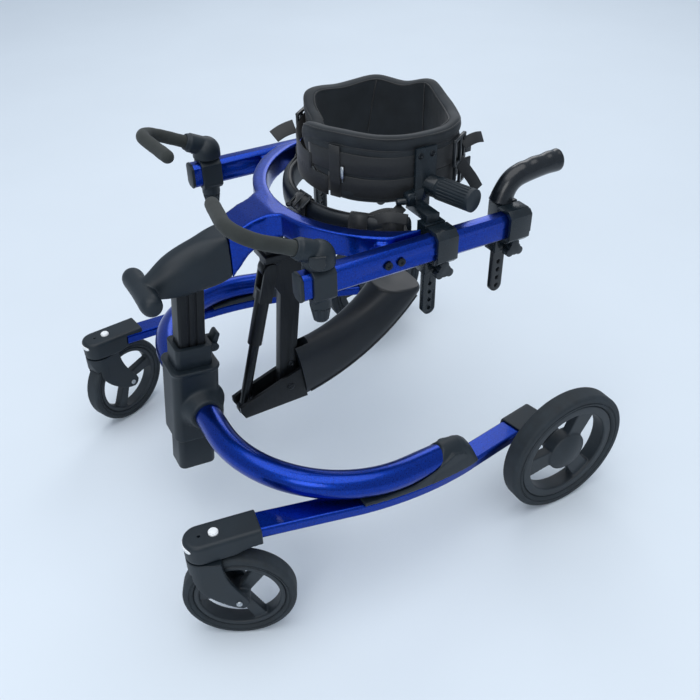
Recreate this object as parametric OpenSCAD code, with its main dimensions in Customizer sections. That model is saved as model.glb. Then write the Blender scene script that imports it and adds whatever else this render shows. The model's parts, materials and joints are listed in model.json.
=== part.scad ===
// Gait trainer with a single front column, a horseshoe yoke and clip-on supports.
// Millimetres. X = 0 is the plane of symmetry, +X the user's right, -Y the column end, Z = 0 the ground.

/* [Wheels] */
// Diameter of the caster tyres
caster_d = 138; // [120:1:140]
// Width of the caster tyres
caster_w = 24; // [18:1:28]
// Distance from a caster's swivel axis to its wheel axle
caster_trail = 38; // [34:1:42]
// Angle that the casters stand turned out at rest
caster_toe = 26; // [0:1:40]
// Diameter of the caster axles
caster_axle_d = 8; // [6:0.5:10]
// Diameter of the rear tyres
rear_d = 190; // [170:1:200]
// Width of the rear tyres
rear_w = 28; // [20:1:32]
// Diameter of the rear axles
rear_axle_d = 12; // [8:0.5:14]
// Half of the track between the rear wheels' middle planes
rear_track = 262.5; // [260:0.5:290]
// Place of the rear axle behind the origin
rear_axle_y = 227.8; // [215:0.1:240]

/* [Base frame] */
// Lean of the rails and base tubes, down towards the rear
base_tilt = 5.3; // [3:0.1:7]
// Place of the rails' widest point behind the origin
base_mid_y = -34.5; // [-50:0.5:-20]
// Height of the rails' top face at their widest point
rail_top_z = 146.6; // [140:0.1:155]
// Distance of the rails' widest point inside the rear wheels' middle planes
rail_inset = 10.5; // [6:0.5:24]
// Width of the flat rail tube
rail_w = 32; // [26:1:34]
// Height of the flat rail tube
rail_h = 16; // [14:1:20]
// Bow radius of the rails
rail_bow_r = 480; // [440:5:560]
// Angle through which a rail bends in towards its caster
rail_front_bend = 8.5; // [6:0.5:11]
// Angle through which a rail bends in towards its rear wheel
rail_rear_bend = 13; // [11:0.5:15]
// Straight length at the front of a rail
rail_front_len = 142; // [130:1:148]
// Straight length at the rear of a rail
rail_rear_len = 120; // [105:1:130]
// Diameter of the bent base tubes
tube_d = 36; // [30:1:40]
// Bend radius of the base tubes
tube_bend_r = 165; // [150:1:175]
// Distance of the tubes' front run ahead of the rails' widest point
tube_front = 176.5; // [168:0.5:182]
// Distance of the tubes' side runs outside the rails' widest point
tube_outset = 1; // [-10:0.5:3]
// Turn of a base tube from its front run to its end
tube_turn = 96; // [90:1:100]
// Straight length at the end of a base tube
tube_end_len = 70; // [60:1:90]
// Room between a base tube and the rail under it
tube_over_rail = 3.5; // [2:0.5:8]

/* [Casters] */
// Distance of a caster's swivel axis inside the rails' widest point
pivot_inset = 28; // [22:0.5:34]
// Place of the swivel axes behind the origin
pivot_y = -290; // [-300:0.5:-280]
// Width of a caster housing
housing_w = 39; // [37:1:46]
// Length of a caster housing behind its swivel axis
housing_len = 70; // [60:1:80]
// Height of a housing's top
housing_top_z = 171; // [169:0.5:178]
// Height of a housing's underside
housing_low_z = 141; // [140:0.5:143]
// Diameter of the caster stem
stem_d = 12; // [10:0.5:14]
// Diameter of the swivel lock button
button_d = 12; // [8:0.5:13]
// Distance of the lock button behind the swivel axis
button_back = 17; // [16:0.5:24]
// Height of the button above the housing
button_proud = 2.6; // [2:0.1:4]
// Thickness of each fork blade
fork_blade = 5.5; // [4:0.5:7]

/* [Column] */
// Lean of the column, back towards the user
column_lean = 6; // [3:0.5:8]
// Place of the column's axis at socket height
socket_y = -214; // [-218:0.5:-208]
// Height of the socket's reference point
socket_z = 184; // [180:0.5:188]
// Width of the column
column_w = 28; // [24:1:30]
// Depth of the column
column_t = 36; // [30:1:40]
// Travel of the column down from where it stands
column_drop = 50; // [40:1:55]
// Length of the column above the socket's reference point
column_above = 196; // [185:1:205]
// Width of the socket casting
socket_w = 58; // [54:1:64]
// Depth of the socket casting
socket_t = 64; // [58:1:70]
// Length of the socket above its reference point
socket_up = 62; // [56:1:70]
// Length of the socket below its reference point
socket_down = 52; // [44:1:58]
// Length of the shroud below the socket
shroud_len = 55; // [48:1:70]
// Length of the collar above the socket
collar_len = 30; // [24:1:36]

/* [Yoke and arms] */
// Half of the distance between the arms' middle planes
arm_x = 167; // [160:0.5:175]
// Height of the arms' middle line
arm_z = 421; // [415:0.5:430]
// Width of an arm
arm_w = 22; // [18:1:24]
// Height of an arm
arm_h = 33; // [28:1:36]
// Chamfer of an arm's long edges
arm_chamfer = 5; // [3:0.5:7]
// Front end of the arms
arm_front_y = -118; // [-125:1:-112]
// Rear end of the arms
arm_rear_y = 189; // [188:1:200]
// Place of the yoke ring's middle behind the origin
ring_y = 98; // [92:1:104]
// Inner radius of the yoke ring
ring_in = 162; // [160:1:166]
// Outer radius of the yoke ring
ring_out = 181; // [179:1:186]
// Height of the yoke ring's section
ring_h = 30; // [26:1:34]
// Height of the yoke's top face
yoke_top_z = 441; // [436:0.5:446]
// Place of the seam between boot and yoke
boot_seam_y = -143; // [-150:1:-136]
// Diameter of the bolts that hold the arms to the yoke
arm_bolt_d = 6; // [4:0.5:8]
// Diameter of the T-handle
t_handle_d = 28; // [24:1:30]
// Length of the T-handle
t_handle_len = 96; // [80:1:110]

/* [Front handles] */
// Place of the front handle clamps behind the origin
handle_y = -94; // [-98:0.5:-84]
// Length of a front handle clamp along its arm
handle_clamp_len = 28; // [24:1:30]
// Wall of the clamps around an arm
clamp_wall = 5; // [4:0.5:6]
// Diameter of the swivel knuckles
knuckle_d = 38; // [34:1:42]
// Diameter of the foam on the handle bars
foam_d = 17; // [15:0.5:22]
// Rise angle of the handle bars
handle_rise = 25; // [15:1:40]
// Length of a handle bar to its corner
handle_reach = 107; // [95:1:115]
// Length of the grip turned inwards
handle_grip = 54; // [45:1:80]
// Angle of the handle bar's corner
handle_corner = 101; // [80:1:105]
// Radius of the handle bar's corner
handle_corner_r = 34; // [26:1:40]

/* [Rear handholds] */
// Place of the handhold clamps behind the origin
handhold_y = 172; // [168:0.5:174]
// Length of a handhold clamp along its arm
handhold_clamp_len = 30; // [26:1:32]
// Thickness of the notched posts
post_t = 8; // [6:0.5:9]
// Depth of the notched posts
post_w = 18; // [14:0.5:20]
// Low end of the notched posts
post_low_z = 312; // [300:1:330]
// Height of the hand grips' middle line
grip_z = 478; // [472:1:490]
// Length of the hand grips
grip_len = 74; // [60:1:90]
// Diameter of the hand grips
grip_d = 26; // [22:0.5:30]

/* [Chest prompt] */
// Place of the prompt clamps behind the origin
prompt_y = 66.5; // [66:0.5:80]
// Length of a prompt clamp along its arm
prompt_clamp_len = 28; // [24:1:32]
// Place of the pad's middle behind the origin
pad_y = 82; // [78:0.5:90]
// Outer radius of the chest pad
pad_r = 103; // [96:0.5:106]
// Thickness of the chest pad
pad_t = 24; // [16:0.5:30]
// Low edge of the chest pad
pad_low_z = 447; // [440:1:450]
// Height of the chest pad
pad_h = 86; // [80:1:100]
// Width of the webbing round the pad
web_w = 20; // [16:1:24]
// Height of the ribbed knobs' axis
prompt_knob_z = 466; // [462:0.5:472]
// Diameter of the ribbed knobs
prompt_knob_d = 28; // [26:0.5:34]
// Length of the ribbed knobs
prompt_knob_len = 50; // [40:1:52]
// Angle of the ribbed knobs to the rear
prompt_knob_turn = 17; // [0:1:20]
// Ribs round a ribbed knob
prompt_knob_ribs = 22; // [16:1:26]
// Width of the pad's side plates
side_plate_w = 34; // [28:1:38]
// Height of the side plates' top edge
side_plate_top_z = 516; // [505:1:522]

/* [Pelvic band] */
// Radius of the band's middle line
band_r = 134; // [128:0.5:138]
// Thickness of the band
band_t = 16; // [12:0.5:20]
// Height of the band
band_h = 36; // [28:1:40]

/* [Saddle] */
// Place of the hanger's top behind the origin
hanger_y = -62; // [-68:0.5:-56]
// Height of the strut's top pivot
strut_top_z = 350; // [345:0.5:356]
// Place of the strut's top pivot behind the origin
strut_top_y = -86; // [-90:0.5:-84]
// Height of the strut's low pivot
strut_low_z = 136; // [132:0.5:140]
// Place of the strut's low pivot behind the origin
strut_low_y = -142; // [-146:0.5:-138]
// Height of the saddle's tilt pivot
tilt_z = 158; // [154:0.5:162]
// Place of the saddle's tilt pivot behind the origin
tilt_y = -74; // [-77:0.5:-71]
// Diameter of the strut's tube
strut_d = 20; // [17:0.5:22]
// Diameter of the strut's rod
rod_d = 14; // [10:0.5:15]
// Width of the saddle's base channel
channel_w = 34; // [30:1:40]
// Width of the sling at its front
sling_front_w = 40; // [34:1:46]
// Width of the sling at its rear
sling_rear_w = 92; // [70:1:110]
// Height of the sling's wall
sling_h = 90; // [75:1:95]

/* [Fits] */
// Radial clearance of a running shaft
run_fit = 0.08; // [0.05:0.01:0.1]
// Clearance of a sliding piece
slide_fit = 0.3; // [0.2:0.05:0.5]
// Gap between pieces that pass each other
pass_gap = 0.4; // [0.3:0.05:1]

/* [Hidden] */
rail_mid_x = rear_track - rail_inset;
tube_side_x = rail_mid_x + tube_outset;
pivot_x = rail_mid_x - pivot_inset;
shroud_floor = 4;
column_below = socket_down + shroud_len - shroud_floor - column_drop - pass_gap;
$fn = 64;
caster_r = caster_d / 2;
rear_r = rear_d / 2;
tube_r = tube_d / 2;
tube_z = tube_over_rail + tube_r;
fork_w = caster_w + 2 * 2 + 2 * fork_blade;
fork_top_z = housing_low_z - pass_gap;
stem_roof_z = housing_top_z - 9;
hub_face = caster_w / 2 + 2 - pass_gap;
arm_in_x = arm_x - arm_w / 2;
post_x = arm_in_x - clamp_wall - slide_fit - post_t / 2 - 1.5;
clamp_in = arm_in_x - slide_fit;
clamp_out = arm_x + arm_w / 2 + slide_fit + clamp_wall;
clamp_top = arm_z + arm_h / 2 + slide_fit + clamp_wall;
clamp_low = arm_z - arm_h / 2 - slide_fit - clamp_wall;
handle_boss_z = clamp_low - 10;
swivel_pin_d = 14;
knob_reach = 13.5;
knob_back = 5;
knob_shank_d = 6;
knob_x = post_x + post_t / 2 + 9;
knob_z = clamp_low - knob_reach - pass_gap;
collar_top = socket_up + collar_len;
lever_y = column_t / 2 + 12;
lever_z = collar_top - 10;
lever_pin_r = 2.4;
bolt_y = [ring_y - 110, ring_y - 93];
strut_dy = strut_low_y - strut_top_y;
strut_dz = strut_low_z - strut_top_z;
strut_len = norm([strut_dy, strut_dz]);
strut_angle = atan2(strut_dy, -strut_dz);
hanger_t = 14;
hanger_top_z = strut_top_z + 16;
saddle_pin_d = 8;
eye_play = 1.2;
big = 400;
seam_step = 0.15;
seam_in = 0.5;

// Shapes that repeat

module side(s) {
  if (s > 0) children();
  else mirror([1, 0, 0]) children();
}

module pair() {
  for (s = [-1, 1]) side(s) children();
}

// Rectangle with round corners, about its middle
module round_rect(w, h, r) {
  square([w - 2 * r, h], center = true);
  square([w, h - 2 * r], center = true);
  for (sx = [-1, 1], sy = [-1, 1]) translate([sx * (w / 2 - r), sy * (h / 2 - r)]) circle(r);
}

// Rectangle with cut corners, about its middle
module cut_rect(w, h, c) {
  x = w / 2;
  y = h / 2;
  polygon([[x, y - c], [x - c, y], [c - x, y], [-x, y - c], [-x, c - y], [c - x, -y], [x - c, -y], [x, c - y]]);
}

// Two circles joined by their outer tangents
module link2d(p, rp, q, rq) {
  a = atan2(q.y - p.y, q.x - p.x);
  b = acos((rp - rq) / norm(q - p));
  u = [cos(a + b), sin(a + b)];
  v = [cos(a - b), sin(a - b)];
  translate(p) circle(rp);
  translate(q) circle(rq);
  polygon([p + rp * u, q + rq * u, q + rq * v, p + rp * v]);
}

// Outline drawn in (y, z) and extruded across X, from x0 to x1
module across(x0, x1) {
  translate([x0, 0, 0]) rotate([90, 0, 90]) linear_extrude(x1 - x0) children();
}

// Shaft along X
module shaft_x(r, x0, x1) {
  translate([x0, 0, 0]) rotate([0, 90, 0]) cylinder(r = r, h = x1 - x0);
}

// Plane of the rails' top faces, with its origin under the rails' widest points
module base_plane() {
  translate([0, base_mid_y, rail_top_z]) rotate([-base_tilt, 0, 0]) children();
}

// Frame along the leaning column
module column_frame() {
  translate([0, socket_y, socket_z]) rotate([-column_lean, 0, 0]) children();
}

// Frame of the right caster's wheel, with Y along its trail and the axle along X
module caster_frame() {
  translate([pivot_x, pivot_y, 0]) rotate([0, 0, -caster_toe]) translate([0, caster_trail, caster_r]) children();
}

// Base frame

// One rail with straight ends; the straights start a little inside the bow, a hair slimmer than it
module rail_run(w, h, r, front, rear) {
  base_plane() translate([rail_mid_x - rail_bow_r, 0, -rail_h / 2]) {
    rotate(-rail_front_bend) rotate_extrude(angle = rail_front_bend + rail_rear_bend)
      translate([rail_bow_r, 0]) round_rect(w, h, r);
    rotate(-rail_front_bend) translate([rail_bow_r, seam_in, 0]) rotate([90, 0, 0])
      linear_extrude(front + seam_in) round_rect(w - 2 * seam_step, h - 2 * seam_step, r);
    rotate(rail_rear_bend) translate([rail_bow_r, -seam_in, 0]) rotate([-90, 0, 0])
      linear_extrude(rear + seam_in) round_rect(w - 2 * seam_step, h - 2 * seam_step, r);
  }
}

module side_rails() {
  color("mediumblue") pair() rail_run(rail_w, rail_h, 4, rail_front_len, rail_rear_len);
}

// One base tube from radius to its end
module tube_run(r, inner_x, extra) {
  corner_x = tube_side_x - tube_bend_r;
  base_plane() translate([0, -tube_front, tube_z]) {
    shaft_x(r - seam_step, inner_x, corner_x + seam_in);
    translate([corner_x, tube_bend_r, 0]) {
      rotate(-90) rotate_extrude(angle = tube_turn) translate([tube_bend_r, 0]) circle(r);
      rotate(tube_turn - 90) translate([tube_bend_r, -seam_in, 0]) rotate([-90, 0, 0])
        cylinder(r = r - seam_step, h = tube_end_len + extra + seam_in);
    }
  }
}

module base_tubes() {
  color("mediumblue") pair() tube_run(tube_r, column_w / 2 + 5, 0);
}

// Moulded saddle between a base tube's end and its rail
module rail_covers() {
  tail = 83;
  tip = tail + 29;
  low = slide_fit;
  color("#1c1d1f") pair() difference() {
    intersection() {
      rail_run(rail_w + 4, 3 * tube_d, 3, 1, rail_rear_len - 5);
      base_plane() across(0, big) polygon([
        [-60, low], [-60, tube_over_rail + 1], [10, tube_over_rail + 6], [44, tube_z + 2],
        [tail - 14, tube_z + tube_r * 0.75], [tail + 2, tube_z + 9], [tail + 18, tube_over_rail + 10],
        [tip, tube_over_rail + 2], [tip, low]
      ]);
    }
    tube_run(tube_r + slide_fit, column_w, 0);
  }
}

module housing_shell() {
  h = housing_top_z - housing_low_z;
  translate([pivot_x, pivot_y, (housing_top_z + housing_low_z) / 2]) rotate(-rail_front_bend) {
    rotate_extrude() intersection() {
      round_rect(housing_w, h, 5);
      translate([0, -h]) square([housing_w, 2 * h]);
    }
    rotate([-90, 0, 0]) linear_extrude(housing_len) round_rect(housing_w, h, 5);
  }
}

module caster_housings() {
  color("#232527") pair() difference() {
    housing_shell();
    rail_run(rail_w + 2 * slide_fit, rail_h + 2 * slide_fit, 4, rail_front_len + slide_fit, 1);
    translate([pivot_x, pivot_y, housing_low_z - 1]) cylinder(d = stem_d + 2 * run_fit, h = stem_roof_z - housing_low_z + 1);
    translate([pivot_x, pivot_y, stem_roof_z]) cylinder(d = 4, h = 20);
    button_place() translate([0, 0, -14]) cylinder(d = button_d + 2 * slide_fit, h = 40);
  }
}

module button_place() {
  translate([pivot_x, pivot_y, housing_top_z]) rotate(-rail_front_bend) translate([0, button_back, 0]) children();
}

module swivel_button(s) {
  dome = 1.2;
  color("white") side(s) button_place() {
    translate([0, 0, -10]) cylinder(d = button_d, h = 10 + button_proud - dome);
    translate([0, 0, button_proud - dome]) cylinder(d = button_d - 1.6, h = dome);
  }
}

module axle_brackets() {
  boss_r = rear_axle_d / 2 + 11;
  sleeve_from = rail_rear_len - 22;
  sleeve_to = rail_rear_len + 36;
  in_x = rear_track - rear_w / 2 - 50;
  out_x = rear_track - rear_w / 2 - 4;
  color("#1c1d1f") pair() difference() {
    union() {
      base_plane() translate([rail_mid_x - rail_bow_r, 0, -rail_h / 2]) rotate(rail_rear_bend)
        translate([rail_bow_r, sleeve_from, 0]) rotate([-90, 0, 0])
          linear_extrude(sleeve_to - sleeve_from) round_rect(rail_w + 6, rail_h + 6, 5);
      translate([0, rear_axle_y, rear_r]) shaft_x(boss_r, in_x, out_x);
    }
    rail_run(rail_w, rail_h, 4, 1, rail_rear_len);
    translate([0, rear_axle_y, rear_r]) shaft_x(rear_axle_d / 2, in_x + 8, out_x + 1);
  }
}

module rear_axles() {
  in_x = rear_track - rear_w / 2 - 42;
  out_x = rear_track + 2;
  color("silver") pair() translate([0, rear_axle_y, rear_r]) {
    shaft_x(rear_axle_d / 2, in_x, out_x);
    shaft_x(rear_axle_d / 2 + 4, rear_track - rear_w / 2 - 4, rear_track - rear_w / 2 + 3);
  }
}

// Wheels

// Solid tyre about the X axis, with a crowned tread and a groove in each wall
module tyre(r, w, t) {
  shoulder = 5;
  groove = 1.2;
  rotate([0, 90, 0]) rotate_extrude($fn = 120) difference() {
    translate([r - t / 2, 0]) round_rect(t, w, shoulder);
    for (s = [-1, 1]) translate([r - t * 0.62, s * w / 2]) circle(groove, $fn = 24);
  }
}

// Three-spoked rim about the X axis
module rim(r, wall, w, hub_r, hub_w, spoke_w, bore_r, phase) {
  rotate([0, 90, 0]) difference() {
    union() {
      rotate_extrude($fn = 120) translate([r - wall / 2, 0]) round_rect(wall, w, 2);
      translate([0, 0, -hub_w / 2]) cylinder(r = hub_r, h = hub_w);
      for (k = [0:2]) rotate(phase + 120 * k) translate([0, 0, -w * 0.3])
        linear_extrude(w * 0.6) polygon([
          [0, -spoke_w * 0.42], [hub_r, -spoke_w * 0.42], [r - wall - 3, -spoke_w / 2], [r - wall / 2, -spoke_w * 0.8],
          [r - wall / 2, spoke_w * 0.8], [r - wall - 3, spoke_w / 2], [hub_r, spoke_w * 0.42], [0, spoke_w * 0.42]
        ]);
    }
    translate([0, 0, -w - hub_w]) cylinder(r = bore_r, h = 2 * (w + hub_w));
  }
}

caster_tyre_t = 13;
caster_wall = 7;
rear_tyre_t = 17;
rear_wall = 13;

module caster_rim(s) {
  color("#2a2a2b") side(s) caster_frame()
    rim(caster_r - caster_tyre_t, caster_wall, caster_w - 4, caster_axle_d / 2 + 9, 2 * hub_face, 17,
      caster_axle_d / 2 + run_fit, 65);
}

module caster_tyre(s) {
  color("#161616") side(s) caster_frame() tyre(caster_r, caster_w, caster_tyre_t);
}

module rear_wheel_frame() {
  translate([rear_track, rear_axle_y, rear_r]) children();
}

module rear_rim(s) {
  hub_r = rear_axle_d / 2 + 24;
  cap_r = 46;
  cap_z = rear_w / 2 + 6 - cap_r;
  color("#2a2a2b") side(s) rear_wheel_frame() difference() {
    union() {
      rim(rear_r - rear_tyre_t, rear_wall, rear_w - 4, hub_r, rear_w - 8, 30, rear_axle_d / 2 + run_fit, 35);
      rotate([0, 90, 0]) rotate_extrude($fn = 120) intersection() {
        translate([0, cap_z]) circle(cap_r);
        square([hub_r, rear_w]);
      }
    }
    shaft_x(rear_axle_d / 2 + run_fit, -rear_w, 2 + pass_gap);
    shaft_x(rear_axle_d / 2 + 4 + pass_gap, -rear_w, 3 + pass_gap - rear_w / 2);
  }
}

module rear_tyre(s) {
  color("#161616") side(s) rear_wheel_frame() tyre(rear_r, rear_w, rear_tyre_t);
}

// Hooded fork: its outline across the full width, opened for the wheel
module caster_fork(s) {
  crown_r = housing_w / 2;
  hub_r = caster_axle_d / 2 + 7;
  hub_step = 0.4;
  wheel_room = 2.5;
  stem_foot = 4;
  top = fork_top_z - caster_r;
  front = -caster_trail - crown_r;
  slot_w = fork_w - 2 * fork_blade;
  color("#232527") side(s) {
    caster_frame() difference() {
      union() {
        intersection() {
          across(-fork_w / 2, fork_w / 2) polygon([
            [front, top], [front + 2 * crown_r, top], [front + 2 * crown_r + 3, top - 14], [hub_r * 0.75, hub_r * 0.45],
            [-hub_r * 0.75, -hub_r * 0.45], [front + 9, top - 40], [front + 1, top - 22]
          ]);
          translate([0, 0, -big]) linear_extrude(2 * big) {
            translate([0, -caster_trail]) circle(crown_r);
            translate([-fork_w / 2, -caster_trail]) square([fork_w, caster_trail + 2 * hub_r]);
          }
        }
        shaft_x(hub_r, -fork_w / 2 + hub_step, fork_w / 2 - hub_step);
      }
      shaft_x(caster_r + wheel_room, -slot_w / 2, slot_w / 2);
      shaft_x(caster_axle_d / 2, -fork_w, fork_w);
    }
    translate([pivot_x, pivot_y, fork_top_z - stem_foot]) cylinder(d = stem_d, h = stem_roof_z - fork_top_z);
  }
}

module caster_axle(s) {
  head_r = caster_axle_d / 2 + 2.5;
  color("silver") side(s) caster_frame() {
    shaft_x(caster_axle_d / 2, -fork_w / 2 - 1, fork_w / 2 + 1);
    for (e = [-1, 1]) translate([e * (fork_w / 2 + 1.5), 0, 0]) shaft_x(head_r, -1.5, 1.5);
  }
}

// Column and its socket

module column_bore(w0, w1) {
  translate([0, 0, w0]) linear_extrude(w1 - w0)
    round_rect(column_w + 2 * slide_fit, column_t + 2 * slide_fit, 4 + slide_fit);
}

module column_socket() {
  lip = 4;
  ear = socket_w / 2 + 9;
  color("#26282a") difference() {
    union() {
      column_frame() {
        translate([0, 0, -socket_down]) linear_extrude(socket_down + socket_up) round_rect(socket_w, socket_t, 12);
        translate([0, 0, socket_up - lip]) linear_extrude(lip) round_rect(socket_w + 4, socket_t + 4, 14);
      }
      base_plane() translate([0, -tube_front, tube_z]) shaft_x(tube_r + 6, -ear, ear);
    }
    column_frame() column_bore(-socket_down - 1, socket_up + 1);
    for (s = [-1, 1]) side(s) tube_run(tube_r, column_w / 2 + 5, 0);
  }
}

module socket_collar() {
  ear_w = 5;
  ear_r = 6;
  color("#1e2022") column_frame() difference() {
    union() {
      translate([0, 0, socket_up]) linear_extrude(collar_len) round_rect(column_w + 14, column_t + 14, 7);
      for (s = [-1, 1]) across(s * 11 - ear_w / 2, s * 11 + ear_w / 2) {
        translate([lever_y, lever_z]) circle(ear_r);
        translate([column_t / 2 + 4, lever_z - ear_r]) square([lever_y - column_t / 2 - 4, 2 * ear_r]);
      }
    }
    column_bore(socket_up - 1, collar_top + 1);
    translate([0, lever_y, lever_z]) shaft_x(lever_pin_r + run_fit, -20, 20);
  }
}

module height_lever() {
  half = 11 - 2.5 - pass_gap;
  color("#141516") column_frame() translate([0, lever_y, lever_z]) {
    shaft_x(lever_pin_r, -13.5, 13.5);
    across(-half, half) link2d([0, 0], 4.4, [6, 15], 3);
  }
}

module socket_shroud() {
  low = -socket_down - shroud_len;
  color("#26282a") column_frame() difference() {
    translate([0, 0, low]) linear_extrude(shroud_len) round_rect(column_w + 14, column_t + 16, 9);
    column_bore(low + shroud_floor, -socket_down + 1);
  }
}

module column() {
  groove = 3;
  depth = 2;
  color("#1b1c1e") column_frame() translate([0, 0, -column_below])
    linear_extrude(column_below + column_above) difference() {
      round_rect(column_w, column_t, 4);
      for (s = [-1, 1], y = [-5, 5]) translate([s * column_w / 2, y]) square([2 * depth, groove], center = true);
    }
}

module column_boot() {
  neck = [0, boot_seam_y - 95, yoke_top_z - 69];
  t_place = [0, boot_seam_y - 109, yoke_top_z - 75];
  foot_z = yoke_top_z - 91;
  seam_w = 50;
  color("#212325") difference() {
    union() {
      hull($fn = 32) {
        translate(neck) shaft_x(13, -14, 14);
        translate([0, -203, foot_z]) linear_extrude(4) round_rect(46, 62, 10);
        translate([0, -200, foot_z + 30]) linear_extrude(4) round_rect(48, 70, 12);
        across(-seam_w / 2, seam_w / 2) translate([boot_seam_y - 2, 390]) square([4, 62], center = true);
      }
      translate(t_place) {
        shaft_x(t_handle_d / 2, -(t_handle_len - t_handle_d) / 2, (t_handle_len - t_handle_d) / 2);
        for (s = [-1, 1]) translate([s * (t_handle_len - t_handle_d) / 2, 0, 0]) sphere(d = t_handle_d);
      }
    }
    column_frame() translate([0, 0, 100]) linear_extrude(column_above - 100) round_rect(column_w, column_t, 4);
  }
}

// Yoke and arms

// Horseshoe with a trunk to the boot and a flange on each arm
module yoke() {
  low_z = yoke_top_z - ring_h;
  flange_t = 8;
  flange_h = 24;
  flange_len = 46;
  ring_end_y = prompt_y - prompt_clamp_len / 2 - 6;
  neck_y = boot_seam_y + 31;
  color("mediumblue") difference() {
    union() {
      intersection() {
        linear_extrude(big * 2) difference() {
          union() {
            intersection() {
              translate([0, ring_y]) circle(ring_out, $fn = 180);
              translate([-arm_in_x, ring_y - ring_out]) square([2 * arm_in_x, ring_out - ring_y + ring_end_y]);
            }
            polygon([
              [-25, boot_seam_y], [25, boot_seam_y], [27, neck_y], [29, neck_y + 18], [38, neck_y + 33], [38, 0],
              [-38, 0], [-38, neck_y + 33], [-29, neck_y + 18], [-27, neck_y]
            ]);
          }
          translate([0, ring_y]) circle(ring_in, $fn = 180);
        }
        across(-big, big) polygon([
          [boot_seam_y, yoke_top_z - 78], [boot_seam_y, yoke_top_z - 20], [neck_y, yoke_top_z - 6],
          [neck_y + 26, yoke_top_z], [ring_y, yoke_top_z], [ring_y, low_z], [neck_y + 40, low_z],
          [neck_y + 16, low_z - 5], [neck_y - 8, low_z - 21]
        ]);
      }
      pair() translate([arm_in_x - flange_t, bolt_y[0] - 10, arm_z - flange_h / 2])
        cube([flange_t, flange_len, flange_h]);
    }
    pair() for (y = bolt_y) translate([0, y, arm_z]) shaft_x(arm_bolt_d / 2, arm_in_x - 14, arm_in_x + 1);
  }
}

module arms() {
  color("mediumblue") pair() difference() {
    translate([arm_x, arm_front_y, arm_z]) rotate([-90, 0, 0])
      linear_extrude(arm_rear_y - arm_front_y) cut_rect(arm_w, arm_h, arm_chamfer);
    for (y = bolt_y) translate([0, y, arm_z]) shaft_x(arm_bolt_d / 2, arm_in_x - 1, arm_x + arm_w);
    for (y = [arm_front_y, arm_rear_y]) translate([arm_x, y, arm_z]) rotate([-90, 0, 0])
      linear_extrude(16, center = true) cut_rect(arm_w - 5, arm_h - 5, arm_chamfer - 1);
  }
}

module arm_caps() {
  color("#161718") pair() for (e = [[arm_front_y, -1], [arm_rear_y, 1]])
    translate([arm_x, e[0], arm_z]) rotate([-90 * e[1], 0, 0]) {
      linear_extrude(4) cut_rect(arm_w + 1, arm_h + 1, arm_chamfer);
      translate([0, 0, -8]) linear_extrude(9) cut_rect(arm_w - 5, arm_h - 5, arm_chamfer - 1);
    }
}

module arm_bolts() {
  head_h = 2.4;
  color("#101112") pair() for (y = bolt_y) translate([0, y, arm_z]) {
    shaft_x(arm_bolt_d / 2, arm_in_x - 14, arm_x + arm_w / 2);
    difference() {
      shaft_x(arm_bolt_d * 0.85, arm_x + arm_w / 2, arm_x + arm_w / 2 + head_h);
      translate([arm_x + arm_w / 2 + head_h - 1.4, 0, 0]) rotate([0, 90, 0]) cylinder(d = arm_bolt_d * 0.7, h = 3, $fn = 6);
    }
  }
}

// Sleeve around an arm, about the place y
module arm_sleeve(y, len) {
  translate([arm_x, y - len / 2, arm_z]) rotate([-90, 0, 0]) linear_extrude(len) difference() {
    cut_rect(2 * (clamp_out - arm_x), 2 * (clamp_top - arm_z), arm_chamfer + 2);
    cut_rect(arm_w + 2 * slide_fit, arm_h + 2 * slide_fit, arm_chamfer);
  }
}

// Front handles

// Clamp with a swivel pin on top and a threaded boss below
module handle_clamp(s) {
  color("#1d1f21") side(s) difference() {
    union() {
      arm_sleeve(handle_y, handle_clamp_len);
      translate([arm_x, handle_y, clamp_top - 2]) cylinder(d = swivel_pin_d, h = 16);
      translate([arm_x, handle_y, handle_boss_z]) cylinder(d = 25, h = clamp_low - handle_boss_z + 2);
    }
    translate([arm_x, handle_y, handle_boss_z - 1]) cylinder(d = 8 + 2 * run_fit, h = 9);
  }
}

// Fluted cone under a front handle clamp
module handle_knob(s) {
  len = 18;
  flutes = 10;
  color("#151617") side(s) translate([arm_x, handle_y, handle_boss_z - pass_gap]) {
    cylinder(d = 8, h = 6);
    difference() {
      translate([0, 0, -len]) rotate_extrude()
        polygon([[0, 0], [8, 0], [9, 1], [12, len - 1], [11, len], [0, len]]);
      for (k = [0:flutes - 1]) rotate(360 / flutes * k)
        translate([9.3, 0, -len - 2]) rotate([0, 9, 0]) cylinder(d = 3.6, h = len + 4);
    }
  }
}

knuckle_low = clamp_top + pass_gap;
bar_seat = 18;
bar_place = [arm_x, handle_y, knuckle_low + 14];

module bar_frame() {
  translate(bar_place) rotate([-handle_rise, 0, 0]) children();
}

module handle_knuckle(s) {
  r = knuckle_d / 2;
  color("#2b2d2f") side(s) difference() {
    union() {
      translate([arm_x, handle_y, knuckle_low]) {
        cylinder(r = r, h = 9);
        translate([0, 0, 9]) intersection() {
          sphere(r);
          translate([0, 0, r]) cube(2 * r, center = true);
        }
      }
      bar_frame() translate([0, -24, 0]) rotate([90, 0, 0]) cylinder(d1 = foam_d + 9, d2 = foam_d + 4, h = 8);
      bar_frame() translate([0, -26, 0]) rotate([-90, 0, 0]) cylinder(d = foam_d + 9, h = 20);
    }
    translate([arm_x, handle_y, knuckle_low - 1]) cylinder(d = swivel_pin_d + 2 * run_fit, h = 15.5);
    bar_frame() translate([0, -bar_seat, 0]) rotate([90, 0, 0]) cylinder(d = foam_d, h = 30);
  }
}

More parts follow.
